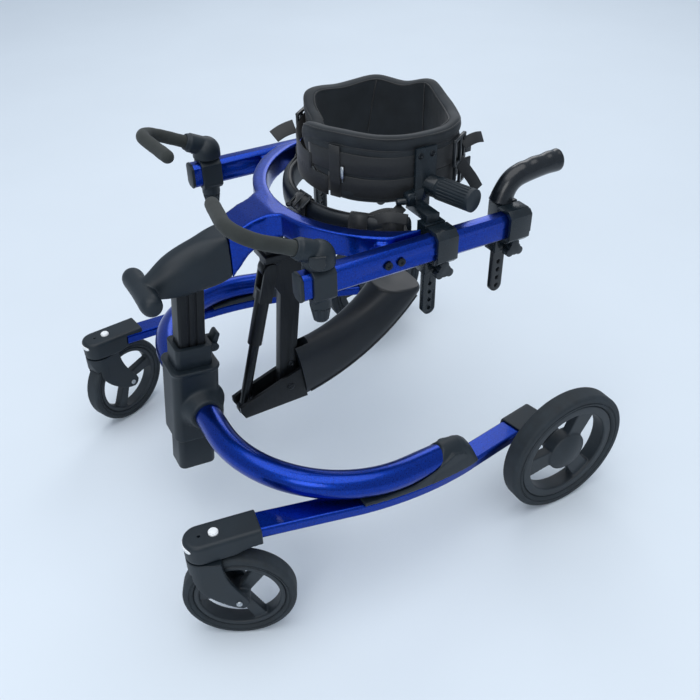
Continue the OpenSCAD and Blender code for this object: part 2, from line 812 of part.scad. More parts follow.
module foam_grip(s) {
  run = handle_reach - handle_corner_r * tan(handle_corner / 2);
  thin = foam_d - 2 * seam_step;
  color("#4a453f") side(s) bar_frame() {
    translate([0, -bar_seat, 0]) rotate([90, 0, 0]) cylinder(d = thin, h = run - bar_seat + seam_in);
    translate([-handle_corner_r, -run, 0]) rotate(-handle_corner) {
      rotate_extrude(angle = handle_corner) translate([handle_corner_r, 0]) circle(d = foam_d);
      translate([handle_corner_r, seam_in, 0]) rotate([90, 0, 0]) rotate_extrude() intersection() {
        round_rect(thin, 2 * (handle_grip + thin / 2), thin / 2 - 1);
        square([thin, handle_grip + thin]);
      }
    }
  }
}

// Sleeve with an inner socket that holds a notched post, and a block for the knob that clamps it
module post_sleeve(y, len) {
  socket_in = post_x - post_t / 2 - slide_fit - 4;
  block_low = knob_z - 8;
  difference() {
    union() {
      arm_sleeve(y, len);
      translate([socket_in, y - len / 2, clamp_low]) cube([clamp_in - 1 - socket_in, len, clamp_top - clamp_low]);
      translate([socket_in, y - len / 2, block_low]) cube([knob_x - socket_in, len, clamp_low + 2 - block_low]);
    }
    translate([post_x, y, block_low - 1]) linear_extrude(big)
      square([post_t + 2 * slide_fit, post_w + 2 * slide_fit], center = true);
    translate([post_x, y + knob_back, knob_z]) shaft_x(knob_shank_d / 2 + run_fit, 0, big);
  }
}

// Flat post with a row of holes, round at its low end
module notched_post(y, top) {
  pitch = 12;
  count = 4;
  difference() {
    translate([post_x - post_t / 2, y, 0]) rotate([90, 0, 90]) linear_extrude(post_t) {
      translate([0, post_low_z + post_w / 2]) circle(d = post_w);
      translate([-post_w / 2, post_low_z + post_w / 2]) square([post_w, top - post_low_z - post_w / 2]);
    }
    for (k = [0:count - 1]) translate([post_x, y, post_low_z + post_w / 2 + pitch * k]) shaft_x(2.6, -post_t, post_t);
  }
}

// Three-lobed knob that clamps a post, under the arm with its axis across
module lobed_knob(y) {
  lobe = 5.5;
  out = knob_reach - lobe;
  shank = knob_x - post_x - post_t / 2 - 2 * slide_fit;
  translate([knob_x + pass_gap, y + knob_back, knob_z]) {
    shaft_x(knob_shank_d / 2, -shank, 1);
    shaft_x(7, 0, 4);
    across(4, 14) {
      circle(8.5);
      for (k = [0:2]) rotate(90 + 120 * k) translate([out, 0]) circle(lobe);
    }
  }
}

// Rear handholds

module handhold_clamps() {
  color("#1d1f21") pair() post_sleeve(handhold_y, handhold_clamp_len);
}

module handhold_knob(s) {
  color("#151617") side(s) lobed_knob(handhold_y);
}

// Notched post with a waisted hand grip turned to the rear
module handhold(s) {
  r = grip_d / 2;
  waist_r = 90;
  waist_depth = 2;
  neck_z = clamp_top + slide_fit;
  color("#17181a") side(s) {
    notched_post(handhold_y, neck_z + 4);
    translate([post_x, handhold_y, 0]) {
      translate([0, 0, neck_z]) cylinder(d1 = post_w + 2, d2 = grip_d - 2 * seam_step, h = 14);
      translate([0, 0, neck_z + 13]) cylinder(r = r, h = grip_z - neck_z - 13);
      translate([0, 0, grip_z]) rotate([45, 0, 0]) sphere(r + 1);
      translate([0, 0, grip_z]) rotate([-90, 0, 0]) rotate_extrude() difference() {
        union() {
          square([r, grip_len - 6]);
          translate([0, grip_len - 11]) square([r + 0.8, 8]);
          translate([0, grip_len - 4]) square([r, 4]);
        }
        translate([r + waist_r - waist_depth, grip_len * 0.56]) circle(waist_r, $fn = 180);
      }
    }
  }
}

// Chest prompt

module prompt_clamps() {
  color("#1d1f21") pair() post_sleeve(prompt_y, prompt_clamp_len);
}

module prompt_clamp_knob(s) {
  color("#151617") side(s) lobed_knob(prompt_y);
}

side_plate_x = pad_r + slide_fit;
side_plate_t = 4;
prompt_boss_r = 13;
prompt_boss_len = 17;

// Axis of a ribbed knob, from the inner face of its side plate
module prompt_knob_frame() {
  translate([side_plate_x, pad_y + 8, prompt_knob_z]) rotate(prompt_knob_turn) children();
}

// Notched posts that carry the pad's side plates and the ribbed knobs
module prompt_brackets() {
  shelf_z = clamp_top + slide_fit;
  shelf_h = 9;
  color("#1d1f21") pair() difference() {
    union() {
      notched_post(prompt_y, shelf_z + 1);
      translate([side_plate_x, prompt_y - post_w / 2, shelf_z])
        cube([post_x + post_t / 2 - side_plate_x, post_w, shelf_h]);
      translate([side_plate_x, pad_y - side_plate_w / 2, shelf_z])
        cube([side_plate_t + 3, post_w + 4, prompt_knob_z - shelf_z]);
      translate([side_plate_x, pad_y - side_plate_w / 2 + 3, prompt_knob_z - 10])
        cube([side_plate_t, side_plate_w - 5, side_plate_top_z - prompt_knob_z + 10]);
      intersection() {
        prompt_knob_frame() shaft_x(prompt_boss_r, -prompt_boss_r, prompt_boss_len);
        translate([side_plate_x, 0, 0]) cube(2 * big);
      }
    }
    prompt_knob_frame() shaft_x(5 + run_fit, 6, prompt_boss_len + 1);
  }
}

module prompt_knob(s) {
  r = prompt_knob_d / 2;
  color("#1a1b1c") side(s) prompt_knob_frame() translate([prompt_boss_len + pass_gap, 0, 0]) {
    shaft_x(5, -10, 1);
    difference() {
      shaft_x(r, 0, prompt_knob_len);
      for (k = [0:prompt_knob_ribs - 1]) rotate([360 / prompt_knob_ribs * k, 0, 0])
        translate([0, 0, r + 0.4]) shaft_x(1.3, 4, prompt_knob_len - 5, $fn = 16);
    }
  }
}

web_t = 1.6;
web_low = [pad_low_z + 16, pad_low_z + 38];

// Padded ring: bulged wall, rolled rim, drawn in where the webbing runs
module chest_pad() {
  mid = pad_r - pad_t / 2;
  roll = pad_t / 2;
  color("#202224") translate([0, pad_y, 0]) rotate_extrude($fn = 120) difference() {
    union() {
      translate([mid, pad_low_z + pad_h / 2]) round_rect(pad_t, pad_h, roll - 0.5);
      translate([mid, pad_low_z + pad_h - roll - 1]) circle(roll + 1);
    }
    for (z = web_low) translate([pad_r - web_t, z]) square([web_t + 5, web_w]);
    translate([pad_r + 1.8, pad_low_z + pad_h - 2 * roll]) circle(3.4);
    translate([pad_r - pad_t - 2.2, pad_low_z + pad_h - 2 * roll]) circle(3.4);
  }
}

module chest_straps() {
  color("#111213") translate([0, pad_y, 0]) for (z = web_low) translate([0, 0, z + slide_fit])
    rotate_extrude($fn = 120) translate([pad_r - web_t + 0.05, 0]) square([web_t, web_w - 2 * slide_fit]);
}

// Padded band round the front of the user's hips, held by tabs inside the yoke
module pelvic_band() {
  span = 140;
  tab_t = 5;
  tab_turn = (180 - span) / 2 + 8;
  low = yoke_top_z - band_h + 2;
  color("#18191a") translate([0, ring_y, low]) {
    rotate(-90 - span / 2) rotate_extrude(angle = span, $fn = 120)
      translate([band_r, band_h / 2]) round_rect(band_t, band_h, band_t / 2 - 0.5);
    intersection() {
      pair() rotate(-tab_turn) translate([band_r, -tab_t / 2, 9]) cube([ring_in - band_r + 2, tab_t, band_h - 18]);
      cylinder(r = ring_in - 0.05, h = band_h, $fn = 180);
    }
  }
}

// Saddle

// Block under the yoke that the hanger is bolted to
module saddle_mount() {
  color("#1d1f21") difference() {
    union() {
      translate([-20, hanger_y - 34, hanger_top_z]) cube([40, 60, 9]);
      translate([-12, hanger_y - 30, hanger_top_z + 5]) cube([24, ring_y - ring_in - hanger_y + 28, 60]);
    }
    yoke();
  }
}

// Plate with the strut's top pivot, drawn out into the bar that the saddle tilts on
module saddle_hanger() {
  half = hanger_t / 2;
  boss_step = 0.4;
  color("#1d1f21") difference() {
    union() {
      across(-half, half) polygon([
        [strut_top_y - 8, hanger_top_z], [hanger_y + 22, hanger_top_z], [hanger_y + 26, strut_top_z - 4],
        [hanger_y + 16, strut_top_z - 54], [tilt_y + 12, tilt_z], [tilt_y - 12, tilt_z],
        [hanger_y - 12, strut_top_z - 42], [strut_top_y - 8, strut_top_z - 6]
      ]);
      translate([0, strut_top_y, strut_top_z]) shaft_x(12, -half + boss_step, half - boss_step);
      translate([0, tilt_y, tilt_z]) shaft_x(13, -half + boss_step, half - boss_step);
    }
    translate([0, strut_top_y, strut_top_z]) shaft_x(saddle_pin_d / 2 + run_fit, -hanger_t, hanger_t);
    translate([0, tilt_y, tilt_z]) shaft_x(saddle_pin_d / 2 + run_fit, -hanger_t, hanger_t);
  }
}

// Frame along the strut, from its top pivot down
module strut_frame() {
  translate([0, strut_top_y, strut_top_z]) rotate([strut_angle, 0, 0]) children();
}

strut_cheek = hanger_t / 2 + pass_gap;
tube_part = 0.52;
clevis_from = 30;

module strut_tube() {
  color("#141516") strut_frame() difference() {
    union() {
      for (s = [-1, 1]) across(s * (strut_cheek + 2) - 2, s * (strut_cheek + 2) + 2)
        link2d([0, 0], 9, [0, -34], 9);
      translate([0, 0, -strut_len * tube_part]) cylinder(d = strut_d, h = strut_len * tube_part - clevis_from - 4);
      translate([0, 0, -clevis_from - 18]) linear_extrude(18) square([2 * strut_cheek + 8, 18], center = true);
      shaft_x(saddle_pin_d / 2, -strut_cheek - 3, strut_cheek + 3);
    }
    translate([0, 0, -strut_len]) cylinder(d = rod_d + 2 * run_fit, h = strut_len - clevis_from - 22);
  }
}

module strut_rod() {
  color("silver") strut_frame() difference() {
    union() {
      translate([0, 0, -strut_len + 8]) cylinder(d = rod_d, h = strut_len * 0.62);
      translate([0, 0, -strut_len]) shaft_x(9, -5, 5);
    }
    translate([0, 0, -strut_len]) shaft_x(saddle_pin_d / 2 + eye_play, -9, 9);
  }
}

// Points on the sling's curved middle line and its direction
sling_front = [tilt_y + 20.5, tilt_z + 14.5];
sling_lean = 8;
sling_rise = 62;
sling_r = 250;
function sling_dir(t) = sling_lean + sling_rise * t;
function sling_at(t) =
  sling_front + sling_r * [sin(sling_dir(t)) - sin(sling_lean), cos(sling_lean) - cos(sling_dir(t))];
function sling_w(t) = sling_front_w + (sling_rear_w - sling_front_w) * t * t;
function sling_edge(h) = sling_front + h * [-sin(sling_lean), cos(sling_lean)] - [slide_fit, 0];

// Channel that carries the sling; the strut's low pin and the tilt pin cross it
module saddle_base() {
  wall = 5;
  half = channel_w / 2;
  low = strut_low_z - 8;
  color("#17181a") difference() {
    across(-half, half) polygon([
      [strut_low_y - 10, low + 12], [strut_low_y - 4, low], sling_edge(-sling_h / 2 + 2), sling_edge(10),
      [tilt_y - 10, tilt_z + 15], [strut_low_y + 2, strut_low_z + 17], [strut_low_y - 10, strut_low_z + 12]
    ]);
    across(-half + wall, half - wall) polygon([
      [strut_low_y - 30, low - 10], [strut_low_y + 16, low - 10], [strut_low_y + 20, low + 5],
      [tilt_y + 40, low + 5], [tilt_y + 40, tilt_z + 60], [strut_low_y - 30, tilt_z + 60]
    ]);
  }
  color("silver") for (p = [[tilt_y, tilt_z], [strut_low_y, strut_low_z]])
    translate([0, p.x, p.y]) shaft_x(saddle_pin_d / 2, -half + wall - 1, half - wall + 1);
}

// Trough-like sling: sections widen and flatten towards the rear
module saddle_sling() {
  steps = 10;
  ring = 20;
  pts = [
    for (i = [0:steps]) let (t = i / steps, a = sling_dir(t), c = sling_at(t), w = sling_w(t), h = sling_h * (1 - 0.45 * t))
      for (k = [0:ring - 1]) let (
        p = 360 * k / ring,
        ex = sign(cos(p)) * pow(abs(cos(p)), 0.7) * w / 2,
        ez = sign(sin(p)) * pow(abs(sin(p)), 0.7) * h / 2 - (sin(p) > 0 ? 0.16 * w * (1 - pow(cos(p), 2)) * t : 0)
      ) [ex, c.x - ez * sin(a), c.y + ez * cos(a)]
  ];
  faces = concat(
    [for (i = [0:steps - 1], k = [0:ring - 1]) [i * ring + k, i * ring + (k + 1) % ring, (i + 1) * ring + (k + 1) % ring]],
    [for (i = [0:steps - 1], k = [0:ring - 1]) [i * ring + k, (i + 1) * ring + (k + 1) % ring, (i + 1) * ring + k]],
    [[for (k = [0:ring - 1]) ring - 1 - k]],
    [[for (k = [0:ring - 1]) steps * ring + k]]
  );
  color("#131415") difference() {
    polyhedron(pts, faces);
    translate([-hanger_t / 2 - 1.5, tilt_y, tilt_z + 6]) cube([hanger_t + 3, 36, sling_h]);
  }
}

column_socket();
socket_collar();
socket_shroud();
height_lever();
base_tubes();
side_rails();
rail_covers();
caster_housings();
axle_brackets();
rear_axles();
swivel_button(1);  // swivel_button_right
swivel_button(-1);  // swivel_button_left
caster_fork(1);  // caster_fork_right
caster_fork(-1);  // caster_fork_left
caster_axle(1);  // caster_axle_right
caster_axle(-1);  // caster_axle_left
caster_rim(1);  // caster_rim_right
caster_rim(-1);  // caster_rim_left
caster_tyre(1);  // caster_tyre_right
caster_tyre(-1);  // caster_tyre_left
rear_rim(1);  // rear_rim_right
rear_rim(-1);  // rear_rim_left
rear_tyre(1);  // rear_tyre_right
rear_tyre(-1);  // rear_tyre_left
column();
column_boot();
yoke();
arms();
arm_caps();
arm_bolts();
handle_clamp(1);  // handle_clamp_right
handle_clamp(-1);  // handle_clamp_left
handle_knob(1);  // handle_knob_right
handle_knob(-1);  // handle_knob_left
handle_knuckle(1);  // handle_knuckle_right
handle_knuckle(-1);  // handle_knuckle_left
foam_grip(1);  // foam_grip_right
foam_grip(-1);  // foam_grip_left
handhold_clamps();
handhold_knob(1);  // handhold_knob_right
handhold_knob(-1);  // handhold_knob_left
handhold(1);  // handhold_right
handhold(-1);  // handhold_left
prompt_clamps();
prompt_clamp_knob(1);  // prompt_clamp_knob_right
prompt_clamp_knob(-1);  // prompt_clamp_knob_left
prompt_brackets();
prompt_knob(1);  // prompt_knob_right
prompt_knob(-1);  // prompt_knob_left
chest_pad();
chest_straps();
pelvic_band();
saddle_mount();
saddle_hanger();
strut_tube();
strut_rod();
saddle_base();
saddle_sling();
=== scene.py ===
"""Looks of a gait trainer.

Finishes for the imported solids, and padded, woven and moulded pieces built over them.
"""

import json
import math

import bmesh
import bpy
from mathutils import Matrix, Vector, noise


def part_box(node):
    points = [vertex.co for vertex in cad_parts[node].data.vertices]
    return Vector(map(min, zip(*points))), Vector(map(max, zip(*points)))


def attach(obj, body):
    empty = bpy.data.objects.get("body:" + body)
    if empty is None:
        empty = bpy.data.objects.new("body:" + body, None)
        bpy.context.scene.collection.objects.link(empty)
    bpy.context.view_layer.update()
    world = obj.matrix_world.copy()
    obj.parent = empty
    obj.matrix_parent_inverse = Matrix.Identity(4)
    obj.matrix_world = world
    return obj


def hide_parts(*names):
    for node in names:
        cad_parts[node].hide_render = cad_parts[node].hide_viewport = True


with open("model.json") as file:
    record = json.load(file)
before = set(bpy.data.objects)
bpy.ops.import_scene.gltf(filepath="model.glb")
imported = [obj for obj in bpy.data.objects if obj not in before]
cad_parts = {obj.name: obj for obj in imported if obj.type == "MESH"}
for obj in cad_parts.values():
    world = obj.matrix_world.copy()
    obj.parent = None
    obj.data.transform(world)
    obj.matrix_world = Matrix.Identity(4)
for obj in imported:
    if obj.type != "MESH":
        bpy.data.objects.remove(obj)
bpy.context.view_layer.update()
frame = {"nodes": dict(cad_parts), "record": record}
MM = 0.001
BODY_OF = {n: body for body, members in frame["record"]["behaviour"]["bodies"].items() for n in members}
SIDES = (("right", 1), ("left", -1))
# A wave texture turns by 20 radians over one unit of its scaled place, so this scale gives one band per unit
ONE_BAND = math.tau / 20

bl_info = {
    "name": "Gait trainer",
    "version": (1, 0, 0),
    "blender": (4, 5, 0),
    "location": "View3D > Sidebar > Gait trainer",
    "description": "Dresses the packed gait trainer with finishes, padding and webbing",
    "category": "Object",
}


def linear(text):
    """Linear RGB of an sRGB hex colour."""
    values = [int(text[i:i + 2], 16) / 255 for i in (1, 3, 5)]
    return tuple(v / 12.92 if v <= 0.04045 else ((v + 0.055) / 1.055) ** 2.4 for v in values)


def colour_property(name, text, description):
    """Colour setting that starts from a hex value."""
    return bpy.props.FloatVectorProperty(
        name=name, description=description, subtype="COLOR", size=3, min=0, max=1, default=linear(text)
    )


def length_property(name, millimetres, description):
    """Length setting that starts from a size in millimetres."""
    return bpy.props.FloatProperty(
        name=name, description=description, subtype="DISTANCE", unit="LENGTH", default=millimetres * MM
    )


class GaitTrainerColours(bpy.types.PropertyGroup):
    """Colours of the finishes"""

    lacquer: colour_property("Lacquer", "#063aa8", "Blue lacquer of the tubes, rails, arms and yoke")
    lacquer_deep: colour_property("Deep lacquer", "#04287c", "Blue between the flakes of the lacquer")
    moulding: colour_property("Mouldings", "#141e25", "Black nylon of the clamps, housings and casings")
    anodised: colour_property("Anodised parts", "#14171a", "Black of the column, saddle bars and strut")
    tyre: colour_property("Tyres", "#1b2227", "Solid tyres")
    rim: colour_property("Rims", "#1b2329", "Spoked rims")
    foam: colour_property("Foam", "#272b29", "Foam on the front handles")
    fabric: colour_property("Pad fabric", "#191e22", "Woven cover of the chest pad")
    webbing: colour_property("Webbing", "#131517", "Straps")
    vinyl: colour_property("Vinyl", "#0f151b", "Cover of the saddle and the hip band")
    button: colour_property("Buttons", "#f3f5f6", "Swivel lock buttons and front inserts")
    floor: colour_property("Floor", "#dfe7ee", "Floor and backdrop")


class GaitTrainerSizes(bpy.types.PropertyGroup):
    """Sizes of the soft pieces"""

    pad_thickness: length_property("Pad thickness", 14.5, "Thickness of the chest pad's wall")
    roll_radius: length_property("Rim roll", 8.2, "Radius of the roll along the pad's rim")
    strap_width: length_property("Strap width", 25, "Width of the webbing")
    strap_thickness: length_property("Strap thickness", 1.6, "Thickness of the webbing")
    band_thickness: length_property("Band thickness", 17, "Thickness of the hip band")
    foam_diameter: length_property("Foam diameter", 17, "Diameter of the foam on the front handles")
    piping_radius: length_property("Piping", 1.6, "Radius of the piping along the saddle's edges")


def colours():
    """Colour settings of the scene."""
    return bpy.context.scene.gait_trainer_colours


def sizes():
    """Size settings of the scene."""
    return bpy.context.scene.gait_trainer_sizes


# Finishes


def add(tree, kind, inputs=None, **settings):
    """Adds a node; inputs maps a socket to a value, or to an output that feeds it."""
    node = tree.nodes.new("ShaderNode" + kind)
    for key, value in settings.items():
        setattr(node, key, value)
    for key, value in (inputs or {}).items():
        if isinstance(value, bpy.types.NodeSocket):
            tree.links.new(value, node.inputs[key])
        else:
            node.inputs[key].default_value = value
    return node


def begin(name, **values):
    """New material with a Principled shader; returns it with its tree, shader and object coordinates."""
    material = bpy.data.materials.new(name)
    material.use_nodes = True
    tree = material.node_tree
    tree.nodes.clear()
    shader = add(tree, "BsdfPrincipled", values)
    add(tree, "OutputMaterial", {"Surface": shader.outputs[0]})
    return material, tree, shader, add(tree, "TexCoord").outputs["Object"]


def per_mm(size):
    """Texture scale at which one cell is about size millimetres."""
    return 1 / (size * MM)


def rgba(value, gain=1.0):
    """Colour for a socket, brightened or darkened by a gain."""
    return tuple(min(1.0, c * gain) for c in value) + (1.0,)


def shade(tree, shader, source, dark, light, low, high):
    """Varies the base colour and the roughness over the surface by a texture."""
    ramp = add(tree, "ValToRGB", {"Fac": source})
    ramp.color_ramp.elements[0].position = 0.3
    ramp.color_ramp.elements[1].position = 0.7
    ramp.color_ramp.elements[0].color = dark
    ramp.color_ramp.elements[1].color = light
    rough = add(tree, "MapRange", {"Value": source, "To Min": low, "To Max": high})
    tree.links.new(ramp.outputs["Color"], shader.inputs["Base Color"])
    tree.links.new(rough.outputs["Result"], shader.inputs["Roughness"])


def relief(tree, shader, height, distance, strength):
    """Bump from a height texture; distance is the relief's depth in millimetres."""
    bump = add(tree, "Bump", {"Height": height, "Distance": distance * MM, "Strength": strength})
    tree.links.new(bump.outputs["Normal"], shader.inputs["Normal"])


def frame_lacquer():
    # Metallic blue lacquer baked on aluminium tube: flakes under a clear coat give a deep, glossy blue.
    # Real flakes are far too fine to show, so they are drawn at 1.6 mm.
    material, tree, shader, place = begin(
        "frame_lacquer", Metallic=0.94, **{"Coat Weight": 0.22, "Coat Roughness": 0.05}
    )
    flakes = add(tree, "TexNoise", {"Vector": place, "Scale": per_mm(1.6), "Detail": 4.0})
    deep, bright = rgba(colours().lacquer_deep), rgba(colours().lacquer)
    shade(tree, shader, flakes.outputs["Fac"], deep, bright, 0.24, 0.34)
    ripple = add(tree, "TexNoise", {"Vector": place, "Scale": per_mm(9), "Detail": 1.0})
    relief(tree, shader, ripple.outputs["Fac"], 0.12, 0.25)
    return material


def moulded_nylon():
    # Glass-filled nylon from a spark-eroded mould: satin black with a fine grain, paler where it is
    # handled. The grain is drawn at 0.9 mm so that it shows.
    material, tree, shader, place = begin("moulded_nylon", **{"Specular IOR Level": 0.4})
    clouds = add(tree, "TexNoise", {"Vector": place, "Scale": per_mm(30), "Detail": 5.0, "Roughness": 0.6})
    base = colours().moulding
    shade(tree, shader, clouds.outputs["Fac"], rgba(base, 0.86), rgba(base, 1.2), 0.42, 0.56)
    grain = add(tree, "TexNoise", {"Vector": place, "Scale": per_mm(0.9), "Detail": 2.0})
    relief(tree, shader, grain.outputs["Fac"], 0.08, 0.35)
    return material


def gloss_nylon():
    # Unfilled nylon from a polished mould: clamps, brackets and knobs shine where the other nylon is satin.
    material, tree, shader, place = begin("gloss_nylon", **{"Specular IOR Level": 0.45})
    flow = add(tree, "TexNoise", {"Vector": place, "Scale": per_mm(12), "Detail": 3.0})
    base = colours().moulding
    shade(tree, shader, flow.outputs["Fac"], rgba(base, 0.6), rgba(base, 0.95), 0.2, 0.32)
    relief(tree, shader, flow.outputs["Fac"], 0.08, 0.2)
    return material


def black_anodised():
    # Extruded aluminium, black anodised: satin with faint drawing lines along Z.
    material, tree, shader, place = begin("black_anodised", Metallic=0.55)
    stretch = add(tree, "Mapping", {"Vector": place, "Scale": (1, 1, 0.04)})
    drawn = stretch.outputs["Vector"]
    lines = add(tree, "TexNoise", {"Vector": drawn, "Scale": per_mm(1.2), "Detail": 3.0})
    base = colours().anodised
    shade(tree, shader, lines.outputs["Fac"], rgba(base, 0.85), rgba(base, 1.5), 0.3, 0.44)
    relief(tree, shader, lines.outputs["Fac"], 0.03, 0.3)
    return material


def tyre_polyurethane():
    # Cast polyurethane tyre: dull charcoal, dusty in patches from use, with a fine open skin.
    material, tree, shader, place = begin("tyre_polyurethane")
    dust = add(tree, "TexNoise", {"Vector": place, "Scale": per_mm(22), "Detail": 8.0, "Roughness": 0.7})
    base = colours().tyre
    shade(tree, shader, dust.outputs["Fac"], rgba(base, 0.75), rgba(base, 1.75), 0.68, 0.86)
    skin = add(tree, "TexNoise", {"Vector": place, "Scale": per_mm(1.1), "Detail": 3.0})
    relief(tree, shader, skin.outputs["Fac"], 0.12, 0.45)
    return material


def rim_nylon():
    # Moulded wheel rim: dark grey nylon, slightly mottled, smoother than the clamps.
    material, tree, shader, place = begin("rim_nylon")
    mottle = add(tree, "TexNoise", {"Vector": place, "Scale": per_mm(14), "Detail": 6.0, "Roughness": 0.65})
    base = colours().rim
    shade(tree, shader, mottle.outputs["Fac"], rgba(base, 0.8), rgba(base, 1.35), 0.46, 0.6)
    relief(tree, shader, mottle.outputs["Fac"], 0.1, 0.2)
    return material


def nitrile_foam():
    # Closed-cell nitrile foam sleeve: dull brown grey with pores, drawn at 1.1 mm.
    material, tree, shader, place = begin("nitrile_foam", **{"Sheen Weight": 0.06, "Sheen Roughness": 0.6})
    cells = add(tree, "TexVoronoi", {"Vector": place, "Scale": per_mm(1.1)})
    clouds = add(tree, "TexNoise", {"Vector": place, "Scale": per_mm(18), "Detail": 4.0})
    base = colours().foam
    shade(tree, shader, clouds.outputs["Fac"], rgba(base, 0.8), rgba(base, 1.25), 0.85, 0.96)
    relief(tree, shader, cells.outputs["Distance"], 0.22, 0.5)
    return material


def pad_polyester():
    # Coated polyester in a plain weave: black, faintly grey on its high threads.
    # The threads are far too fine to show, so they are drawn as soft ribs about 9.4 mm apart.
    material, tree, shader, place = begin(
        "pad_polyester", **{"Sheen Weight": 0.1, "Sheen Roughness": 0.45, "Specular IOR Level": 0.35}
    )
    threads = per_mm(9.425) * ONE_BAND
    warp = add(tree, "TexWave", {"Vector": place, "Scale": threads}, bands_direction="Z")
    turned = add(tree, "Mapping", {"Vector": place, "Rotation": (0, 0, math.radians(35))})
    weft = add(tree, "TexWave", {"Vector": turned.outputs["Vector"], "Scale": threads}, bands_direction="X")
    weave = add(tree, "Math", {0: warp.outputs["Fac"], 1: weft.outputs["Fac"]}, operation="MULTIPLY")
    clouds = add(tree, "TexNoise", {"Vector": place, "Scale": per_mm(25), "Detail": 5.0})
    base = colours().fabric
    shade(tree, shader, clouds.outputs["Fac"], rgba(base, 0.75), rgba(base, 1.45), 0.58, 0.74)
    relief(tree, shader, weave.outputs["Value"], 0.16, 0.4)
    return material


def strap_webbing():
    # Woven polypropylene webbing: black with a slight sheen and fuzz.
    # Its ribs are too fine to show, so they are drawn about 12.6 mm apart, two on a strap's width.
    material, tree, shader, place = begin("strap_webbing", **{"Sheen Weight": 0.2, "Sheen Roughness": 0.4})
    spacing = per_mm(12.566) * ONE_BAND
    ribs = add(tree, "TexWave", {"Vector": place, "Scale": spacing}, bands_direction="Z")
    fuzz = add(tree, "TexNoise", {"Vector": place, "Scale": per_mm(2.5), "Detail": 4.0})
    base = colours().webbing
    shade(tree, shader, fuzz.outputs["Fac"], rgba(base, 0.8), rgba(base, 1.7), 0.5, 0.66)
    relief(tree, shader, ribs.outputs["Fac"], 0.25, 0.6)
    return material


def saddle_vinyl():
    # Expanded vinyl over foam: smooth black with a shallow leather grain, drawn at 1.8 mm.
    material, tree, shader, place = begin("saddle_vinyl", **{"Specular IOR Level": 0.42})
    grain = add(tree, "TexVoronoi", {"Vector": place, "Scale": per_mm(1.8)}, feature="SMOOTH_F1")
    clouds = add(tree, "TexNoise", {"Vector": place, "Scale": per_mm(40), "Detail": 4.0})
    base = colours().vinyl
    shade(tree, shader, clouds.outputs["Fac"], rgba(base, 0.85), rgba(base, 1.3), 0.36, 0.5)
    relief(tree, shader, grain.outputs["Distance"], 0.1, 0.3)
    return material


def buckle_acetal():
    # Injection-moulded acetal: glossier and blacker than the nylon, with faint flow marks.
    material, tree, shader, place = begin("buckle_acetal")
    flow = add(tree, "TexNoise", {"Vector": place, "Scale": per_mm(6), "Detail": 3.0})
    base = linear("#0f1418")
    shade(tree, shader, flow.outputs["Fac"], rgba(base, 0.8), rgba(base, 1.3), 0.26, 0.4)
    relief(tree, shader, flow.outputs["Fac"], 0.05, 0.2)
    return material


def zinc_steel():
    # Zinc-plated steel: pale grey with soft turning marks.
    material, tree, shader, place = begin("zinc_steel", Metallic=1.0)
    marks = add(tree, "TexNoise", {"Vector": place, "Scale": per_mm(1.5), "Detail": 3.0})
    base = linear("#b9bec2")
    shade(tree, shader, marks.outputs["Fac"], rgba(base, 0.8), rgba(base, 1.1), 0.28, 0.42)
    relief(tree, shader, marks.outputs["Fac"], 0.02, 0.3)
    return material


def black_oxide():
    # Black-oxide screws and rods: nearly black steel with an oily gloss.
    material, tree, shader, place = begin("black_oxide", Metallic=0.9)
    marks = add(tree, "TexNoise", {"Vector": place, "Scale": per_mm(2), "Detail": 3.0})
    base = linear("#2a2d30")
    shade(tree, shader, marks.outputs["Fac"], rgba(base, 0.7), rgba(base, 1.3), 0.26, 0.4)
    relief(tree, shader, marks.outputs["Fac"], 0.02, 0.3)
    return material


def grip_vinyl():
    # Dipped vinyl hand grip and its post: glossy black with a soft orange-peel skin.
    material, tree, shader, place = begin("grip_vinyl")
    peel = add(tree, "TexNoise", {"Vector": place, "Scale": per_mm(4), "Detail": 2.0})
    base = linear("#0d1217")
    shade(tree, shader, peel.outputs["Fac"], rgba(base, 0.85), rgba(base, 1.3), 0.2, 0.3)
    relief(tree, shader, peel.outputs["Fac"], 0.1, 0.2)
    return material


def white_abs():
    # Moulded white ABS: clean and semi-gloss, a little grey in patches from handling.
    material, tree, shader, place = begin("white_abs")
    soil = add(tree, "TexNoise", {"Vector": place, "Scale": per_mm(5), "Detail": 4.0})
    base = colours().button
    shade(tree, shader, soil.outputs["Fac"], rgba(base, 0.9), rgba(base), 0.24, 0.36)
    relief(tree, shader, soil.outputs["Fac"], 0.03, 0.15)
    return material


def floor_matte():
    # Plain matte studio floor.
    material, tree, shader, place = begin("floor_matte", Roughness=0.9)
    clouds = add(tree, "TexNoise", {"Vector": place, "Scale": 2.0, "Detail": 3.0})
    base = colours().floor
    shade(tree, shader, clouds.outputs["Fac"], rgba(base, 0.97), rgba(base), 0.85, 0.95)
    return material


def finish(maker):
    """The material that a maker builds, made once."""
    return bpy.data.materials.get(maker.__name__) or maker()


# Curves


def smooth(low, high, value):
    """Eases from 0 at low to 1 at high."""
    t = min(1.0, max(0.0, (value - low) / (high - low)))
    return t * t * (3 - 2 * t)


def between(points, value):
    """Value at a place on a smooth curve through (place, value) pairs."""
    last = len(points) - 1
    i = next((k for k in range(last) if value <= points[k + 1][0]), last - 1)
    slopes = []
    for k in (i, i + 1):
        before, after = points[max(k - 1, 0)], points[min(k + 1, last)]
        slopes.append((after[1] - before[1]) / (after[0] - before[0]))
    (low, first), (high, second) = points[i], points[i + 1]
    wide = high - low
    t = min(1.0, max(0.0, (value - low) / wide))
    bend = t * (1 - t) * wide
    return first + (second - first) * t * t * (3 - 2 * t) + bend * (slopes[0] * (1 - t) - slopes[1] * t)


def power(value, exponent):
    """Power of a size that keeps its sign, for rounded square outlines."""
    return math.copysign(abs(value) ** exponent, value)


